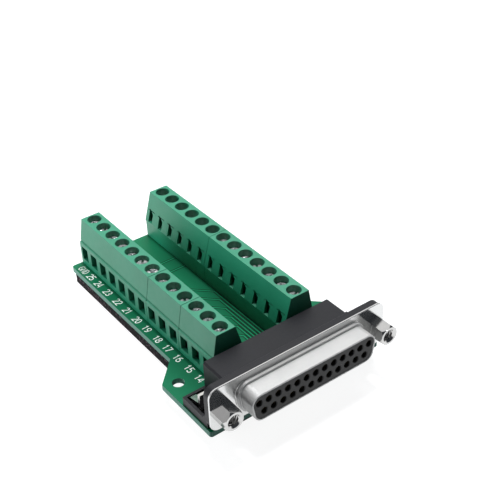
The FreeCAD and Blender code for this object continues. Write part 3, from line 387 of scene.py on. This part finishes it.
# Steel, cold headed and zinc plated: bright but uneven, with a hazy blue-grey shine that
# scatters some of the light, as a passivated coat does.
ZINC = plated_metal("zinc_plated_steel", "#c4c8ca", "#eceeef", 0.6, 0.14, 0.28, 0.004,
                    metallic=0.7)
# Copper alloy strip, stamped and bright tin plated: pale, soft-edged reflections.
TIN = plated_metal("tin_plated_copper", "#cccbc7", "#e4e3df", 0.9, 0.18, 0.3, 0.003)
# Steel, bent to a cage and dull nickel plated, seen only deep in the wire entries: its grey is
# painted darker than the metal, as painted shade of the entries.
CAGE_NICKEL_PAINTED_SHADE = plated_metal("nickel_plated_cage", "#6f7473", "#8c918f", 1.2, 0.35, 0.5, 0.004)
# Copper alloy tube with a thin gold flash: warm and bright, dulled inside the bore.
GOLD = plated_metal("gold_flashed_contact", "#a98a50", "#c5a766", 0.5, 0.28, 0.42, 0.002)
# Tin solder, wave soldered: smooth bright cones with a slightly frosted skin.
SOLDER = plated_metal("solder_wave_soldered", "#b4b5b4", "#d2d2d0", 0.4, 0.2, 0.4, 0.006)
NYLON = moulded_nylon("nylon_moulded_black", "#0d0e12", "#13141a")
SOCKET_NYLON = moulded_nylon("nylon_moulded_socket_black", "#101113", "#17181a")
INK = printed_ink()
TRACK = covered_copper("copper_track_masked", "#128559", "#188f63")
TRACK_GAP = covered_copper("laminate_gap_masked", "#011a11", "#022217")

give(BOARD, "circuit_board")
give(FOAM, "base_pad")
give(HOUSING, "terminal_housing_")
give(ZINC, "terminal_screw_")
give(TURNED_NICKEL, "thread_insert_", "jackscrew_")
# The clamps get the darkened grey that paints the shade deep in the wire entries.
give(CAGE_NICKEL_PAINTED_SHADE, "wire_clamps_")
give(TIN, "terminal_pins_", "board_lock_")
give(GOLD, "contacts_")
give(SHEET_NICKEL, "connector_shell")
give(NYLON, "connector_bracket")
give(SOCKET_NYLON, "socket_insulator")


# Terminal blocks

# The section across a row, in millimetres from the screw axis and the board, from the foot
# of the back round by the wire side.
BLOCK_SECTION = [(-5.15, 0), (4.4, 0), (4.4, 6.0), (4.3, 7.1), (3.75, 7.4), (4.0, 7.7),
                 (2.85, 14.1), (-2.85, 14.1), (-5.35, 5.4), (-5.15, 4.9)]
BLOCK_GAP = 0.14 * MM
WELL_RADIUS, WELL_FLOOR = 2.0 * MM, 10.1 * MM
THROAT_RADIUS, CHAMBER_TOP = 1.6 * MM, 9.2 * MM
CHAMBER_BACK, CHAMBER_FRONT, CHAMBER_HALF = -3.4 * MM, 3.2 * MM, 2.0 * MM
ENTRY_LOW, ENTRY_HIGH, ENTRY_HALF = 1.7 * MM, 6.0 * MM, 1.6 * MM
SLOT_LOW, SLOT_SHOULDER, SLOT_PEAK, SLOT_HALF = 5.5 * MM, 8.3 * MM, 9.6 * MM, 0.9 * MM
SLOT_LIP_BACK, SLOT_LIP = -4.3 * MM, 0.3 * MM
OVERCUT = 0.5 * MM
WELL_SIDES, THROAT_SIDES = 48, 40
BLOCK_TOP, BLOCK_REACH = 14.1 * MM, 6.0 * MM


def ring_of(work, radius, level, sides):
    """Points evenly round the Z axis."""
    turn = 2 * math.pi / sides
    return [work.verts.new((radius * math.cos(i * turn), radius * math.sin(i * turn), level))
            for i in range(sides)]


def turned(work, profile, sides):
    """A closed turned shape about Z from (radius, height) points, from its foot up."""
    rings = [ring_of(work, radius, height, sides) for radius, height in profile]
    work.faces.new(rings[0][::-1])
    work.faces.new(rings[-1])
    for lower, upper in zip(rings, rings[1:]):
        for i in range(sides):
            work.faces.new((lower[i - 1], lower[i], upper[i], upper[i - 1]))


def slab(work, outline, direction, low, high):
    """A closed slab: an outline of points on a plane, carried along one axis."""
    step = Vector(direction)
    near = [work.verts.new(Vector(point) + step * low) for point in outline]
    far = [work.verts.new(Vector(point) + step * high) for point in outline]
    faces = [work.faces.new(near), work.faces.new(far[::-1])]
    faces += [work.faces.new((near[i - 1], far[i - 1], far[i], near[i]))
              for i in range(len(outline))]
    bmesh.ops.recalc_face_normals(work, faces=faces)


def rectangle_x(half, low, high):
    """A rectangle across X, for slabs that run along it."""
    return [(0, -half, low), (0, half, low), (0, half, high), (0, -half, high)]


def finished(work, name):
    """The mesh of a shape that is being built."""
    mesh = bpy.data.meshes.new(name)
    work.to_mesh(mesh)
    work.free()
    return mesh


def pole_cutter():
    """All that the mould leaves open for one pole: the well of the screw, its throat, the
    chamber of the clamp, the wire entry, and the peaked slot at the back."""
    work = bmesh.new()
    turned(work, [(WELL_RADIUS, WELL_FLOOR), (WELL_RADIUS, BLOCK_TOP + OVERCUT)], WELL_SIDES)
    turned(work, [(THROAT_RADIUS, CHAMBER_TOP - OVERCUT), (THROAT_RADIUS, WELL_FLOOR + OVERCUT)],
           THROAT_SIDES)
    slab(work, rectangle_x(CHAMBER_HALF, -OVERCUT, CHAMBER_TOP), (1, 0, 0), CHAMBER_BACK,
         CHAMBER_FRONT)
    slab(work, rectangle_x(ENTRY_HALF, ENTRY_LOW, ENTRY_HIGH), (1, 0, 0),
         CHAMBER_FRONT - OVERCUT, BLOCK_REACH)
    peaked = [(0, -SLOT_HALF, SLOT_LOW), (0, SLOT_HALF, SLOT_LOW), (0, SLOT_HALF, SLOT_PEAK),
              (0, -SLOT_HALF, SLOT_SHOULDER)]
    slab(work, peaked, (1, 0, 0), -BLOCK_REACH, CHAMBER_BACK + OVERCUT)
    slab(work, rectangle_x(CHAMBER_HALF - SLOT_LIP, SLOT_LOW - SLOT_LIP, CHAMBER_TOP),
         (1, 0, 0), SLOT_LIP_BACK, CHAMBER_BACK + OVERCUT)
    return finished(work, "pole_cutter")


def row_cut_tree():
    """Cuts one shape out of a body again and again along a line."""
    tree, size = shape_tree("cut_along_a_line", {
        "Cutter": "Object", "Count": "Int", "Start": "Vector", "Step": "Vector"})
    line = add(tree, "GeometryNodeMeshLine", {
        "Count": size["Count"], "Start Location": size["Start"], "Offset": size["Step"]})
    cutter = add(tree, "GeometryNodeObjectInfo", {"Object": size["Cutter"]})
    row = add(tree, "GeometryNodeInstanceOnPoints", {
        "Points": line.outputs["Mesh"], "Instance": cutter.outputs["Geometry"]})
    cutters = add(tree, "GeometryNodeRealizeInstances", {"Geometry": row.outputs["Instances"]})
    cut = add(tree, "GeometryNodeMeshBoolean", {
        "Mesh 1": size["Geometry"], "Mesh 2": cutters.outputs["Geometry"],
        "Self Intersection": True}, operation="DIFFERENCE", solver="EXACT")
    close_tree(tree, size, cut.outputs["Mesh"])
    return tree


def row_tree():
    """Repeats one shape along a line."""
    tree, size = shape_tree("row_of_shapes", {"Count": "Int", "Start": "Vector",
                                              "Step": "Vector"})
    line = add(tree, "GeometryNodeMeshLine", {
        "Count": size["Count"], "Start Location": size["Start"], "Offset": size["Step"]})
    row = add(tree, "GeometryNodeInstanceOnPoints", {
        "Points": line.outputs["Mesh"], "Instance": size["Geometry"]})
    close_tree(tree, size, row.outputs["Instances"])
    return tree


ROW_CUT = row_cut_tree()
ROW = row_tree()


def mould_blocks():
    """Each terminal block as one moulding, with its open places cut pole by pole."""
    cutter = bpy.data.objects.new("pole_cutter", pole_cutter())
    scene.collection.objects.link(cutter)
    outline = [(x * MM, z * MM) for x, z in BLOCK_SECTION]
    for name, poles in HOUSINGS.items():
        node = "terminal_housing_" + name
        side = -1 if name.startswith("left") else 1
        length = poles * POLE_PITCH - BLOCK_GAP
        low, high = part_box(node)
        mesh = grow(ROW_CUT, prism_mesh(node, outline, -length / 2, length / 2), {
            "Cutter": cutter, "Count": poles, "Start": (0, -(poles - 1) / 2 * POLE_PITCH, 0),
            "Step": (0, POLE_PITCH, 0), "Material": HOUSING})
        turn = Matrix.Rotation(math.pi if side < 0 else 0, 4, "Z")
        mesh.transform(Matrix.Translation((side * ROW_X, (low[1] + high[1]) / 2, BOARD_TOP))
                       @ turn)
        piece = new_piece("block_" + name, mesh, CARRIER)
        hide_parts(node)
        round_edges(piece, BLOCK_EDGE)
    bpy.data.objects.remove(cutter)


mould_blocks()


# Terminal screws

# Radius and height up the head, in millimetres.
SCREW_HEAD = [(1.72, 0), (1.84, 0.12), (1.85, 0.95), (1.78, 1.2), (1.6, 1.38), (1.3, 1.5)]
HEAD_HEIGHT = 1.5 * MM
SHANK_RADIUS = 1.4 * MM
SHANK_TIP_INSET, SHANK_TIP_LENGTH = 0.25 * MM, 0.3 * MM
SCREW_SIDES = 40
# Width, depth and half length of the straight slot and of the one that crosses it.
HEAD_SLOTS = [(0.62 * MM, 0.85 * MM, 2.2 * MM), (0.5 * MM, 0.62 * MM, 1.15 * MM)]
# Each screw down a row stands this much further round than the last, in degrees.
SCREW_TURN_STEP = 47


def screw_blank(shank):
    """The turned head and its shank, with the underside of the head at zero."""
    work = bmesh.new()
    profile = [(SHANK_RADIUS - SHANK_TIP_INSET, -shank),
               (SHANK_RADIUS, -shank + SHANK_TIP_LENGTH), (SHANK_RADIUS, 0)]
    profile += [(radius * MM, height * MM) for radius, height in SCREW_HEAD]
    turned(work, profile, SCREW_SIDES)
    return finished(work, "screw_blank")


def recess_cutter():
    """One straight slot right across the head, and a short one that crosses it."""
    work = bmesh.new()
    for crossing, (width, depth, reach) in enumerate(HEAD_SLOTS):
        half = width / 2
        corners = [(-reach, -half), (reach, -half), (reach, half), (-reach, half)]
        outline = [(y, x, HEAD_HEIGHT) if crossing else (x, y, HEAD_HEIGHT)
                   for x, y in corners]
        slab(work, outline, (0, 0, 1), -depth, OVERCUT)
    return finished(work, "recess_cutter")


def screw_tree():
    """Cuts the recess into a screw's blank, turns it and sets it in its place."""
    tree, size = shape_tree("terminal_screw", {"Cutter": "Object", "Place": "Vector",
                                               "Turn": "Vector"})
    cutter = add(tree, "GeometryNodeObjectInfo", {"Object": size["Cutter"]})
    cut = add(tree, "GeometryNodeMeshBoolean", {
        "Mesh 1": size["Geometry"], "Mesh 2": cutter.outputs["Geometry"],
        "Self Intersection": True}, operation="DIFFERENCE", solver="EXACT")
    placed = add(tree, "GeometryNodeTransform", {
        "Geometry": cut.outputs["Mesh"], "Translation": size["Place"], "Rotation": size["Turn"]})
    close_tree(tree, size, placed.outputs["Geometry"])
    return tree


def turn_screws():
    """One screw for each pole, as high as its packed one stands and each turned a step further
    round than the last.
    """
    tree = screw_tree()
    cutter = bpy.data.objects.new("recess_cutter", recess_cutter())
    scene.collection.objects.link(cutter)
    for number, label in enumerate(LEFT_LABELS + RIGHT_LABELS):
        node = "terminal_screw_" + label
        low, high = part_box(node)
        under_head = high[2] - HEAD_HEIGHT
        centre = ((low[0] + high[0]) / 2, (low[1] + high[1]) / 2, under_head)
        turn = math.radians((number % POLES) * SCREW_TURN_STEP % 180)
        mesh = grow(tree, screw_blank(under_head - low[2]), {
            "Cutter": cutter, "Place": centre, "Turn": (0, 0, turn), "Material": ZINC})
        piece = new_piece("round_screw_" + label, mesh, "screw_" + label)
        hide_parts(node)
        round_edges(piece, SCREW_EDGE)
    bpy.data.objects.remove(cutter)


turn_screws()


# Socket, bracket and jackscrews

SHROUD_WIDTH, SHROUD_HEIGHT, SHROUD_CORNER = 38.3 * MM, 7.9 * MM, 2.6 * MM
SHROUD_LEAN = math.radians(10)
INSULATOR_INSET = 0.45 * MM
CONTACT_PITCH = 2.77 * MM
CONTACT_LEVEL = 1.42 * MM
HOLE_RADIUS, HOLE_MOUTH, MOUTH_DEPTH = 0.85 * MM, 1.02 * MM, 0.2 * MM
HOLE_SIDES = 24


def d_outline(inset, steps=8):
    """The D section of the shroud, moved inwards: its ends lean, its corners are round."""
    rise = SHROUD_HEIGHT / 2 - inset
    wide = (SHROUD_WIDTH / 2 - inset * math.tan(SHROUD_LEAN) - inset / math.cos(SHROUD_LEAN))
    narrow = wide - 2 * rise * math.tan(SHROUD_LEAN)
    radius = SHROUD_CORNER - inset
    corners = [Vector((wide, rise)), Vector((-wide, rise)), Vector((-narrow, -rise)),
               Vector((narrow, -rise))]
    outline = []
    for i, corner in enumerate(corners):
        before = (corners[i - 1] - corner).normalized()
        after = (corners[(i + 1) % 4] - corner).normalized()
        half_angle = before.angle(after) / 2
        centre = corner + (before + after).normalized() * radius / math.sin(half_angle)
        first = corner + before * radius / math.tan(half_angle) - centre
        sweep = math.pi - 2 * half_angle
        for k in range(steps + 1):
            turn = Matrix.Rotation(sweep * k / steps, 2)
            outline.append(centre + turn @ first)
    return outline


def mould_insulator():
    """The black face of the socket with its two rows of round, countersunk contact holes."""
    outline = [(x, SOCKET_LEVEL + z) for x, z in d_outline(INSULATOR_INSET)]
    mesh = prism_mesh("insulator", outline, INSULATOR_LOW[1], INSULATOR_HIGH[1])
    work = bmesh.new()
    depth = INSULATOR_HIGH[1] - INSULATOR_LOW[1]
    turned(work, [(HOLE_RADIUS, -depth - OVERCUT), (HOLE_RADIUS, -MOUTH_DEPTH), (HOLE_MOUTH, 0),
                  (HOLE_MOUTH, OVERCUT)], HOLE_SIDES)
    bmesh.ops.rotate(work, verts=work.verts, matrix=Matrix.Rotation(math.pi / 2, 3, "X"))
    cutter = bpy.data.objects.new("contact_hole", finished(work, "contact_hole"))
    scene.collection.objects.link(cutter)
    for count, level in ((POLES, CONTACT_LEVEL), (POLES - 1, -CONTACT_LEVEL)):
        mesh = grow(ROW_CUT, mesh, {
            "Cutter": cutter, "Count": count, "Step": (CONTACT_PITCH, 0, 0),
            "Start": (-(count - 1) / 2 * CONTACT_PITCH, INSULATOR_LOW[1], SOCKET_LEVEL + level),
            "Material": SOCKET_NYLON})
    bpy.data.objects.remove(cutter)
    piece = new_piece("socket_face", mesh, CARRIER)
    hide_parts("socket_insulator")
    round_edges(piece, INSULATOR_EDGE)


def draw_shell():
    """The shell: bright on the flange, and satin where the die has drawn out the shroud."""
    shell = rounded_copy("connector_shell", SHELL_EDGE, SHEET_NICKEL)
    shell.data.materials.append(DRAWN_NICKEL)
    for face in shell.data.polygons:
        if face.center.y < SOCKET_FACE_Y + SHROUD_LENGTH:
            face.material_index = 1


mould_insulator()
draw_shell()
rounded_copy("connector_bracket", BRACKET_EDGE, NYLON)
for side in ("left", "right"):
    rounded_copy("jackscrew_" + side, JACKSCREW_EDGE, TURNED_NICKEL)


# Threads in the jackscrews


THREAD_PITCH, THREAD_RIDGE = 0.7 * MM, 0.2 * MM
THREAD_START, THREAD_LENGTH = 0.6 * MM, 3.0 * MM
JACK_BORE_RADIUS = 1.425 * MM


def thread_tree():
    """A helical ridge, for the thread in a bore."""
    tree, size = shape_tree("thread_ridge", {"Turns": "Float", "Radius": "Float",
                                             "Length": "Float", "Ridge": "Float"})
    helix = add(tree, "GeometryNodeCurveSpiral", {
        "Resolution": 32, "Rotations": size["Turns"], "Start Radius": size["Radius"],
        "End Radius": size["Radius"], "Height": size["Length"]})
    profile = add(tree, "GeometryNodeCurvePrimitiveCircle", {
        "Resolution": 4, "Radius": size["Ridge"]})
    ridge = add(tree, "GeometryNodeCurveToMesh", {
        "Curve": helix.outputs["Curve"], "Profile Curve": profile.outputs["Curve"],
        "Fill Caps": True})
    close_tree(tree, size, ridge.outputs["Mesh"])
    return tree


def cut_threads():
    """A thread in each jackscrew's bore, from a little way in."""
    tree = thread_tree()
    for side in ("left", "right"):
        low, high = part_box("jackscrew_" + side)
        mesh = grow(tree, bpy.data.meshes.new("thread_start"), {
            "Turns": THREAD_LENGTH / THREAD_PITCH, "Radius": JACK_BORE_RADIUS,
            "Length": THREAD_LENGTH, "Ridge": THREAD_RIDGE, "Material": TURNED_NICKEL})
        mesh.transform(Matrix.Translation(((low[0] + high[0]) / 2, low[1] + THREAD_START,
                                           SOCKET_LEVEL))
                       @ Matrix.Rotation(-math.pi / 2, 4, "X"))
        new_piece("jackscrew_thread_" + side, mesh, CARRIER)


cut_threads()


# Solder joints under the board

# Radius and height of a joint, in millimetres, from the board down.
SOLDER_CONE = [(0.98, 0), (0.72, 0.28), (0.5, 0.62), (0.34, 0.82), (0.2, 0.9)]
CONTACT_CONE = [(0.8, 0), (0.58, 0.24), (0.42, 0.55), (0.28, 0.72), (0.16, 0.78)]
CONE_SIDES = 20
LEG_X = 8.45 * MM
UPPER_TAIL_RUN, LOWER_TAIL_RUN = 14.24 * MM, 11.4 * MM


def solder_joints():
    """Cones of solder round the terminals' pins and the tails of the contacts."""
    legs_start = FIRST_POLE_Y - (POLES - 1) * POLE_PITCH
    contact_start = -(POLES - 1) / 2 * CONTACT_PITCH
    rows = [
        (SOLDER_CONE, POLES, (-LEG_X, legs_start), (0, POLE_PITCH)),
        (SOLDER_CONE, POLES, (LEG_X, legs_start), (0, POLE_PITCH)),
        (CONTACT_CONE, POLES, (contact_start, SOCKET_FACE_Y + UPPER_TAIL_RUN), (CONTACT_PITCH, 0)),
        (CONTACT_CONE, POLES - 1, (contact_start + CONTACT_PITCH / 2,
                                   SOCKET_FACE_Y + LOWER_TAIL_RUN), (CONTACT_PITCH, 0))]
    sheet = bmesh.new()
    for profile, count, start, step in rows:
        work = bmesh.new()
        turned(work, [(radius * MM, height * MM) for radius, height in profile], CONE_SIDES)
        bmesh.ops.rotate(work, verts=work.verts, matrix=Matrix.Rotation(math.pi, 3, "X"))
        mesh = grow(ROW, finished(work, "cone"), {
            "Count": count, "Start": (start[0], start[1], BOARD_UNDERSIDE),
            "Step": (step[0], step[1], 0), "Material": SOLDER})
        sheet.from_mesh(mesh)
    mesh = finished(sheet, "solder_joints")
    mesh.shade_smooth()
    new_piece("solder_joints", mesh, CARRIER, SOLDER)


solder_joints()


# Printed numbers, drawn with a plotter's strokes

LABEL_X = 17.6 * MM
LABEL_HEIGHT, LABEL_STROKE, LABEL_SPACING = 1.95 * MM, 0.26 * MM, 0.3 * MM
# Letters are a little narrower than figures, and finer.
LETTER_WIDTH, LETTER_STROKE = 0.92, 0.7
INK_LEVEL = BOARD_TOP + 0.02 * MM
# Runs rearwards from the socket face to the middle of each label, from the rear.
LABEL_RUNS = [81.9, 77.6, 73.3, 68.4, 63.0, 57.9, 52.9, 48.1, 42.8, 38.1, 33.2, 28.1, 23.5]


def arc(x, y, across, high, start, end, steps=9):
    """Points round part of an ellipse, with its angles in degrees."""
    angles = [math.radians(start + (end - start) * i / steps) for i in range(steps + 1)]
    return [(x + across * math.cos(a), y + high * math.sin(a)) for a in angles]


# Each sign as strokes of (x, y) points, one unit high.
SIX = [arc(0.27, 0.3, 0.25, 0.3, 180, -180, 14),
       [(0.02, 0.3), (0.06, 0.62), (0.2, 0.88), (0.44, 1)]]
STROKES = {
    "0": [arc(0.27, 0.5, 0.25, 0.5, 90, 450, 16)],
    "1": [[(0.08, 0.76), (0.28, 1), (0.28, 0)]],
    "2": [arc(0.27, 0.73, 0.25, 0.27, 165, -35) + [(0.02, 0), (0.54, 0)]],
    "3": [arc(0.25, 0.75, 0.24, 0.25, 150, -90) + arc(0.25, 0.25, 0.27, 0.25, 90, -150)],
    "4": [[(0.42, 0), (0.42, 1), (0, 0.28), (0.56, 0.28)]],
    "5": [[(0.5, 1), (0.08, 1), (0.04, 0.54)] + arc(0.25, 0.3, 0.27, 0.3, 118, -150)],
    "6": SIX,
    "7": [[(0, 1), (0.54, 1), (0.2, 0)]],
    "8": [arc(0.27, 0.76, 0.22, 0.24, -90, 270, 12), arc(0.27, 0.26, 0.26, 0.26, 90, 450, 12)],
    "9": [[(0.54 - x, 1 - y) for x, y in stroke] for stroke in SIX],
    "G": [arc(0.3, 0.5, 0.28, 0.5, 55, 320, 12) + [(0.56, 0.2), (0.56, 0.45), (0.34, 0.45)]],
    "N": [[(0.02, 0), (0.02, 1), (0.5, 0), (0.5, 1)]],
    "D": [[(0.04, 0), (0.04, 1), (0.2, 1)] + arc(0.2, 0.5, 0.32, 0.5, 90, -90) + [(0.04, 0)]],
}
SIGN_WIDTH = 0.54


def sideways(points):
    """For each point of a flat path, the step to its left that keeps an even distance."""
    steps = []
    for i in range(len(points)):
        ways = [(points[i] - points[i - 1]).normalized()] if i > 0 else []
        ways += [(points[i + 1] - points[i]).normalized()] if i + 1 < len(points) else []
        along = sum(ways, Vector()).normalized()
        steps.append(Vector((-along.y, along.x, 0)) / max(0.5, along.dot(ways[0])))
    return steps


def strip(mesh, points, width):
    """A flat strip along a path, mitred at its corners."""
    steps = sideways(points)
    left = [mesh.verts.new(point + step * width / 2) for point, step in zip(points, steps)]
    right = [mesh.verts.new(point - step * width / 2) for point, step in zip(points, steps)]
    for i in range(len(points) - 1):
        mesh.faces.new((right[i], right[i + 1], left[i + 1], left[i]))


def print_labels():
    """The numbers of both rows: the left ones read from the rear to the front, the right
    ones from the front to the rear."""
    sheet = bmesh.new()
    for side, labels in ((-1, LEFT_LABELS), (1, RIGHT_LABELS)):
        turn = Matrix.Rotation(math.radians(90 * side), 4, "Z")
        for label, run in zip(labels, LABEL_RUNS):
            place = Matrix.Translation((side * LABEL_X, SOCKET_FACE_Y + run * MM, INK_LEVEL)) @ turn
            words = label.upper().lstrip("0")
            across = LABEL_HEIGHT * (LETTER_WIDTH if words.isalpha() else 1)
            stroke_width = LABEL_STROKE * (LETTER_STROKE if words.isalpha() else 1)
            advance = SIGN_WIDTH * across + LABEL_SPACING
            for i, sign in enumerate(words):
                middle = (i - (len(words) - 1) / 2) * advance
                for stroke in STROKES[sign]:
                    points = [place @ Vector((middle + (x - SIGN_WIDTH / 2) * across,
                                              (y - 0.5) * LABEL_HEIGHT, 0)) for x, y in stroke]
                    strip(sheet, points, stroke_width)
    new_piece("printed_numbers", finished(sheet, "printed_numbers"), CARRIER,
              INK)


print_labels()


# Copper tracks between the rows, seen by the thin dark gaps that run along both their edges

TRACK_WIDTH = 0.36 * MM
GAP_WIDTH = 0.3 * MM
LANE_PITCH = 1.0 * MM
FIRST_LANE_X = 5.6 * MM
GAP_LEVEL = BOARD_TOP + 0.012 * MM
UNDER_LEFT_X = -9.0 * MM
TURN_X = -7.2 * MM
UNDER_RIGHT_X = 9.0 * MM
TRACK_END_Y = HOOD_REAR_Y - 1.0 * MM
CROSSING_TRACKS = (2, 3)
CROSSING_SLANT = 2.7 * MM


def track_path(pole):
    """A track from a left pole, counted from the rear. Two go straight across; the rest run
    aslant until each meets its own lane, and along that to the socket."""
    start_y = FIRST_POLE_Y - pole * POLE_PITCH
    points = [(UNDER_LEFT_X, start_y), (TURN_X, start_y)]
    if pole in CROSSING_TRACKS:
        points += [(TURN_X + CROSSING_SLANT, start_y - CROSSING_SLANT),
                   (UNDER_RIGHT_X, start_y - CROSSING_SLANT)]
    else:
        lane_x = FIRST_LANE_X - (pole - CROSSING_TRACKS[-1] - 1) * LANE_PITCH
        points += [(lane_x, start_y - (lane_x - TURN_X)), (lane_x, TRACK_END_Y)]
    return [Vector((x, y, GAP_LEVEL)) for x, y in points]


def lay_tracks():
    """A copper strip for each track, with a bare gap along each of its edges."""
    gaps, copper = bmesh.new(), bmesh.new()
    for pole in range(CROSSING_TRACKS[0], POLES):
        path = track_path(pole)
        strip(copper, path, TRACK_WIDTH)
        for side in (-1, 1):
            aside = side * (TRACK_WIDTH + GAP_WIDTH) / 2
            strip(gaps, [point + way * aside for point, way in zip(path, sideways(path))],
                  GAP_WIDTH)
    new_piece("copper_tracks", finished(copper, "copper_tracks"), CARRIER,
              TRACK)
    new_piece("track_gaps", finished(gaps, "track_gaps"), CARRIER, TRACK_GAP)


lay_tracks()


# Camera, floor and light

# The view was found by fitting the socket's standard sizes and the screws to the photograph.
CAMERA_AZIMUTH = math.radians(-35.089)
CAMERA_ELEVATION = math.radians(34.579)
CAMERA_ROLL = math.radians(-2.560)
CAMERA_OFFSET = Vector((16.944, -31.264, -233.722)) * MM
CAMERA_FOCAL = 997.216
PHOTO_SIZE = 488
SOCKET_CENTRE = Vector((0, SOCKET_FACE_Y, SOCKET_LEVEL))
# The seen sky is white towards LAMP_WAY, and turns dark as a direction's agreement with it
# falls from the first value to the second. It is white near the floor as well, and turns
# dark as the direction's height rises from the first level to the second.
LAMP_WAY = (0.15, 0.82, 0.55)
LAMP_WHITE, LAMP_DARK = 0.9, 0.3
SKY_WHITE, SKY_DARK = 0.08, 0.3
# Lamps as place, target, size and power.
KEY_LIGHT = ((-0.16, 0.19, 0.07), (-0.02, 0.04, 0.01), (0.11, 0.10), 0.63)
TOP_LIGHT = ((0.17, 0.13, 0.36), (0, 0, 0.01), (0.22, 0.22), 1.8)
GLINT_LIGHT = ((0.04, 0.05, 0.45), (0, 0, 0.01), (0.05, 0.05), 1.1)
FLOOR_HALF = 1.5
FLOOR_NEAR, FLOOR_FAR = 0.06, 0.4


def place_camera():
    """The camera that sees the socket where the photograph has it."""
    back = Vector((math.sin(CAMERA_AZIMUTH) * math.cos(CAMERA_ELEVATION),
                   -math.cos(CAMERA_AZIMUTH) * math.cos(CAMERA_ELEVATION),
                   math.sin(CAMERA_ELEVATION)))
    right = Vector((math.cos(CAMERA_AZIMUTH), math.sin(CAMERA_AZIMUTH), 0))
    level = Matrix((right, back.cross(right), back)).transposed()
    turned_view = level @ Matrix.Rotation(CAMERA_ROLL, 3, "Z")
    data = bpy.data.cameras.new("camera")
    data.sensor_width = 36
    data.lens = CAMERA_FOCAL * data.sensor_width / PHOTO_SIZE
    data.clip_start = 0.01
    camera = bpy.data.objects.new("camera", data)
    place = turned_view.to_4x4()
    place.translation = SOCKET_CENTRE - turned_view @ CAMERA_OFFSET
    camera.matrix_world = place
    scene.collection.objects.link(camera)
    scene.camera = camera


def area_light(name, place, target, size, power, mirrored=False):
    data = bpy.data.lights.new(name, "AREA")
    data.shape = "RECTANGLE"
    data.size, data.size_y = size
    data.energy = power
    light = bpy.data.objects.new(name, data)
    light.location = place
    aim = Vector(target) - Vector(place)
    light.rotation_euler = aim.to_track_quat("-Z", "Y").to_euler()
    # Metal and gloss mirror the white room, and of the lamps only the small one.
    light.visible_glossy = mirrored
    scene.collection.objects.link(light)


def seen_or_lit(tree, seen, lit):
    """One shader for what the camera, mirrors and glass see, and one for the light it gives."""
    path = add(tree, "ShaderNodeLightPath").outputs
    direct = add(tree, "ShaderNodeMath", {0: path["Is Camera Ray"], 1: path["Is Glossy Ray"]},
                 operation="MAXIMUM")
    either = add(tree, "ShaderNodeMath", {0: direct.outputs[0], 1: path["Is Transmission Ray"]},
                 operation="MAXIMUM")
    return add(tree, "ShaderNodeMixShader", {"Fac": either.outputs[0], 1: lit, 2: seen})


def set_world():
    """A plain soft light from all round, and the white room that mirrors and the eye see."""
    world = bpy.data.worlds.new("studio")
    world.use_nodes = True
    tree = world.node_tree
    tree.nodes.clear()
    lit = add(tree, "ShaderNodeBackground", {"Color": linear("#e9eef2"), "Strength": 0.12})
    # What is seen is white near the floor all round and towards the big lamp at the rear, and
    # dark overhead elsewhere: that is what gives bright metal its dark facets.
    way = add(tree, "ShaderNodeTexCoord").outputs["Generated"]
    level = add(tree, "ShaderNodeSeparateXYZ", {"Vector": way}).outputs["Z"]
    overhead = add(tree, "ShaderNodeMapRange", {
        "Value": level, "From Min": SKY_WHITE, "From Max": SKY_DARK},
        interpolation_type="SMOOTHSTEP")
    facing = add(tree, "ShaderNodeVectorMath", {0: way, 1: LAMP_WAY}, operation="DOT_PRODUCT")
    away = add(tree, "ShaderNodeMapRange", {
        "Value": facing.outputs["Value"], "From Min": LAMP_WHITE, "From Max": LAMP_DARK},
        interpolation_type="SMOOTHSTEP")
    dark = add(tree, "ShaderNodeMath", {
        0: overhead.outputs["Result"], 1: away.outputs["Result"]}, operation="MULTIPLY")
    colour = add(tree, "ShaderNodeMix", {
        "Factor": dark.outputs[0], "A": linear("#ffffff"), "B": linear("#3f4246")},
        data_type="RGBA")
    seen = add(tree, "ShaderNodeBackground", {"Color": colour.outputs["Result"],
                                              "Strength": 1.0})
    mix = seen_or_lit(tree, seen.outputs[0], lit.outputs[0])
    add(tree, "ShaderNodeOutputWorld", {"Surface": mix.outputs[0]})
    scene.world = world


def make_floor():
    # White paper, plain and matt: seen as white with a faint shadow, and quite white from
    # FLOOR_FAR outwards. It lights the object as a pale grey sheet would.
    material = bpy.data.materials.new("paper_matt_white")
    material.use_nodes = True
    tree = material.node_tree
    tree.nodes.clear()
    paper = add(tree, "ShaderNodeBsdfDiffuse", {"Color": linear("#8a8c8e")})
    distance = add(tree, "ShaderNodeVectorMath", {
        0: add(tree, "ShaderNodeTexCoord").outputs["Object"]}, operation="LENGTH")
    strength = add(tree, "ShaderNodeMapRange", {
        "Value": distance.outputs["Value"], "From Min": FLOOR_NEAR, "From Max": FLOOR_FAR,
        "To Min": 0.9, "To Max": 1.0})
    glow = add(tree, "ShaderNodeEmission", {"Color": linear("#ffffff"),
                                            "Strength": strength.outputs["Result"]})
    seen = add(tree, "ShaderNodeAddShader", {0: paper.outputs[0], 1: glow.outputs[0]})
    mix = seen_or_lit(tree, seen.outputs[0], paper.outputs[0])
    add(tree, "ShaderNodeOutputMaterial", {"Surface": mix.outputs[0]})
    mesh = bpy.data.meshes.new("floor")
    mesh.from_pydata([(-FLOOR_HALF, -FLOOR_HALF, 0), (FLOOR_HALF, -FLOOR_HALF, 0),
                      (FLOOR_HALF, FLOOR_HALF, 0), (-FLOOR_HALF, FLOOR_HALF, 0)],
                     [], [(0, 1, 2, 3)])
    mesh.materials.append(material)
    floor = bpy.data.objects.new("floor", mesh)
    scene.collection.objects.link(floor)


place_camera()
set_world()
make_floor()
area_light("key_softbox", *KEY_LIGHT)
area_light("top_softbox", *TOP_LIGHT)
area_light("glint_lamp", *GLINT_LIGHT, mirrored=True)

scene.view_settings.view_transform = "Standard"
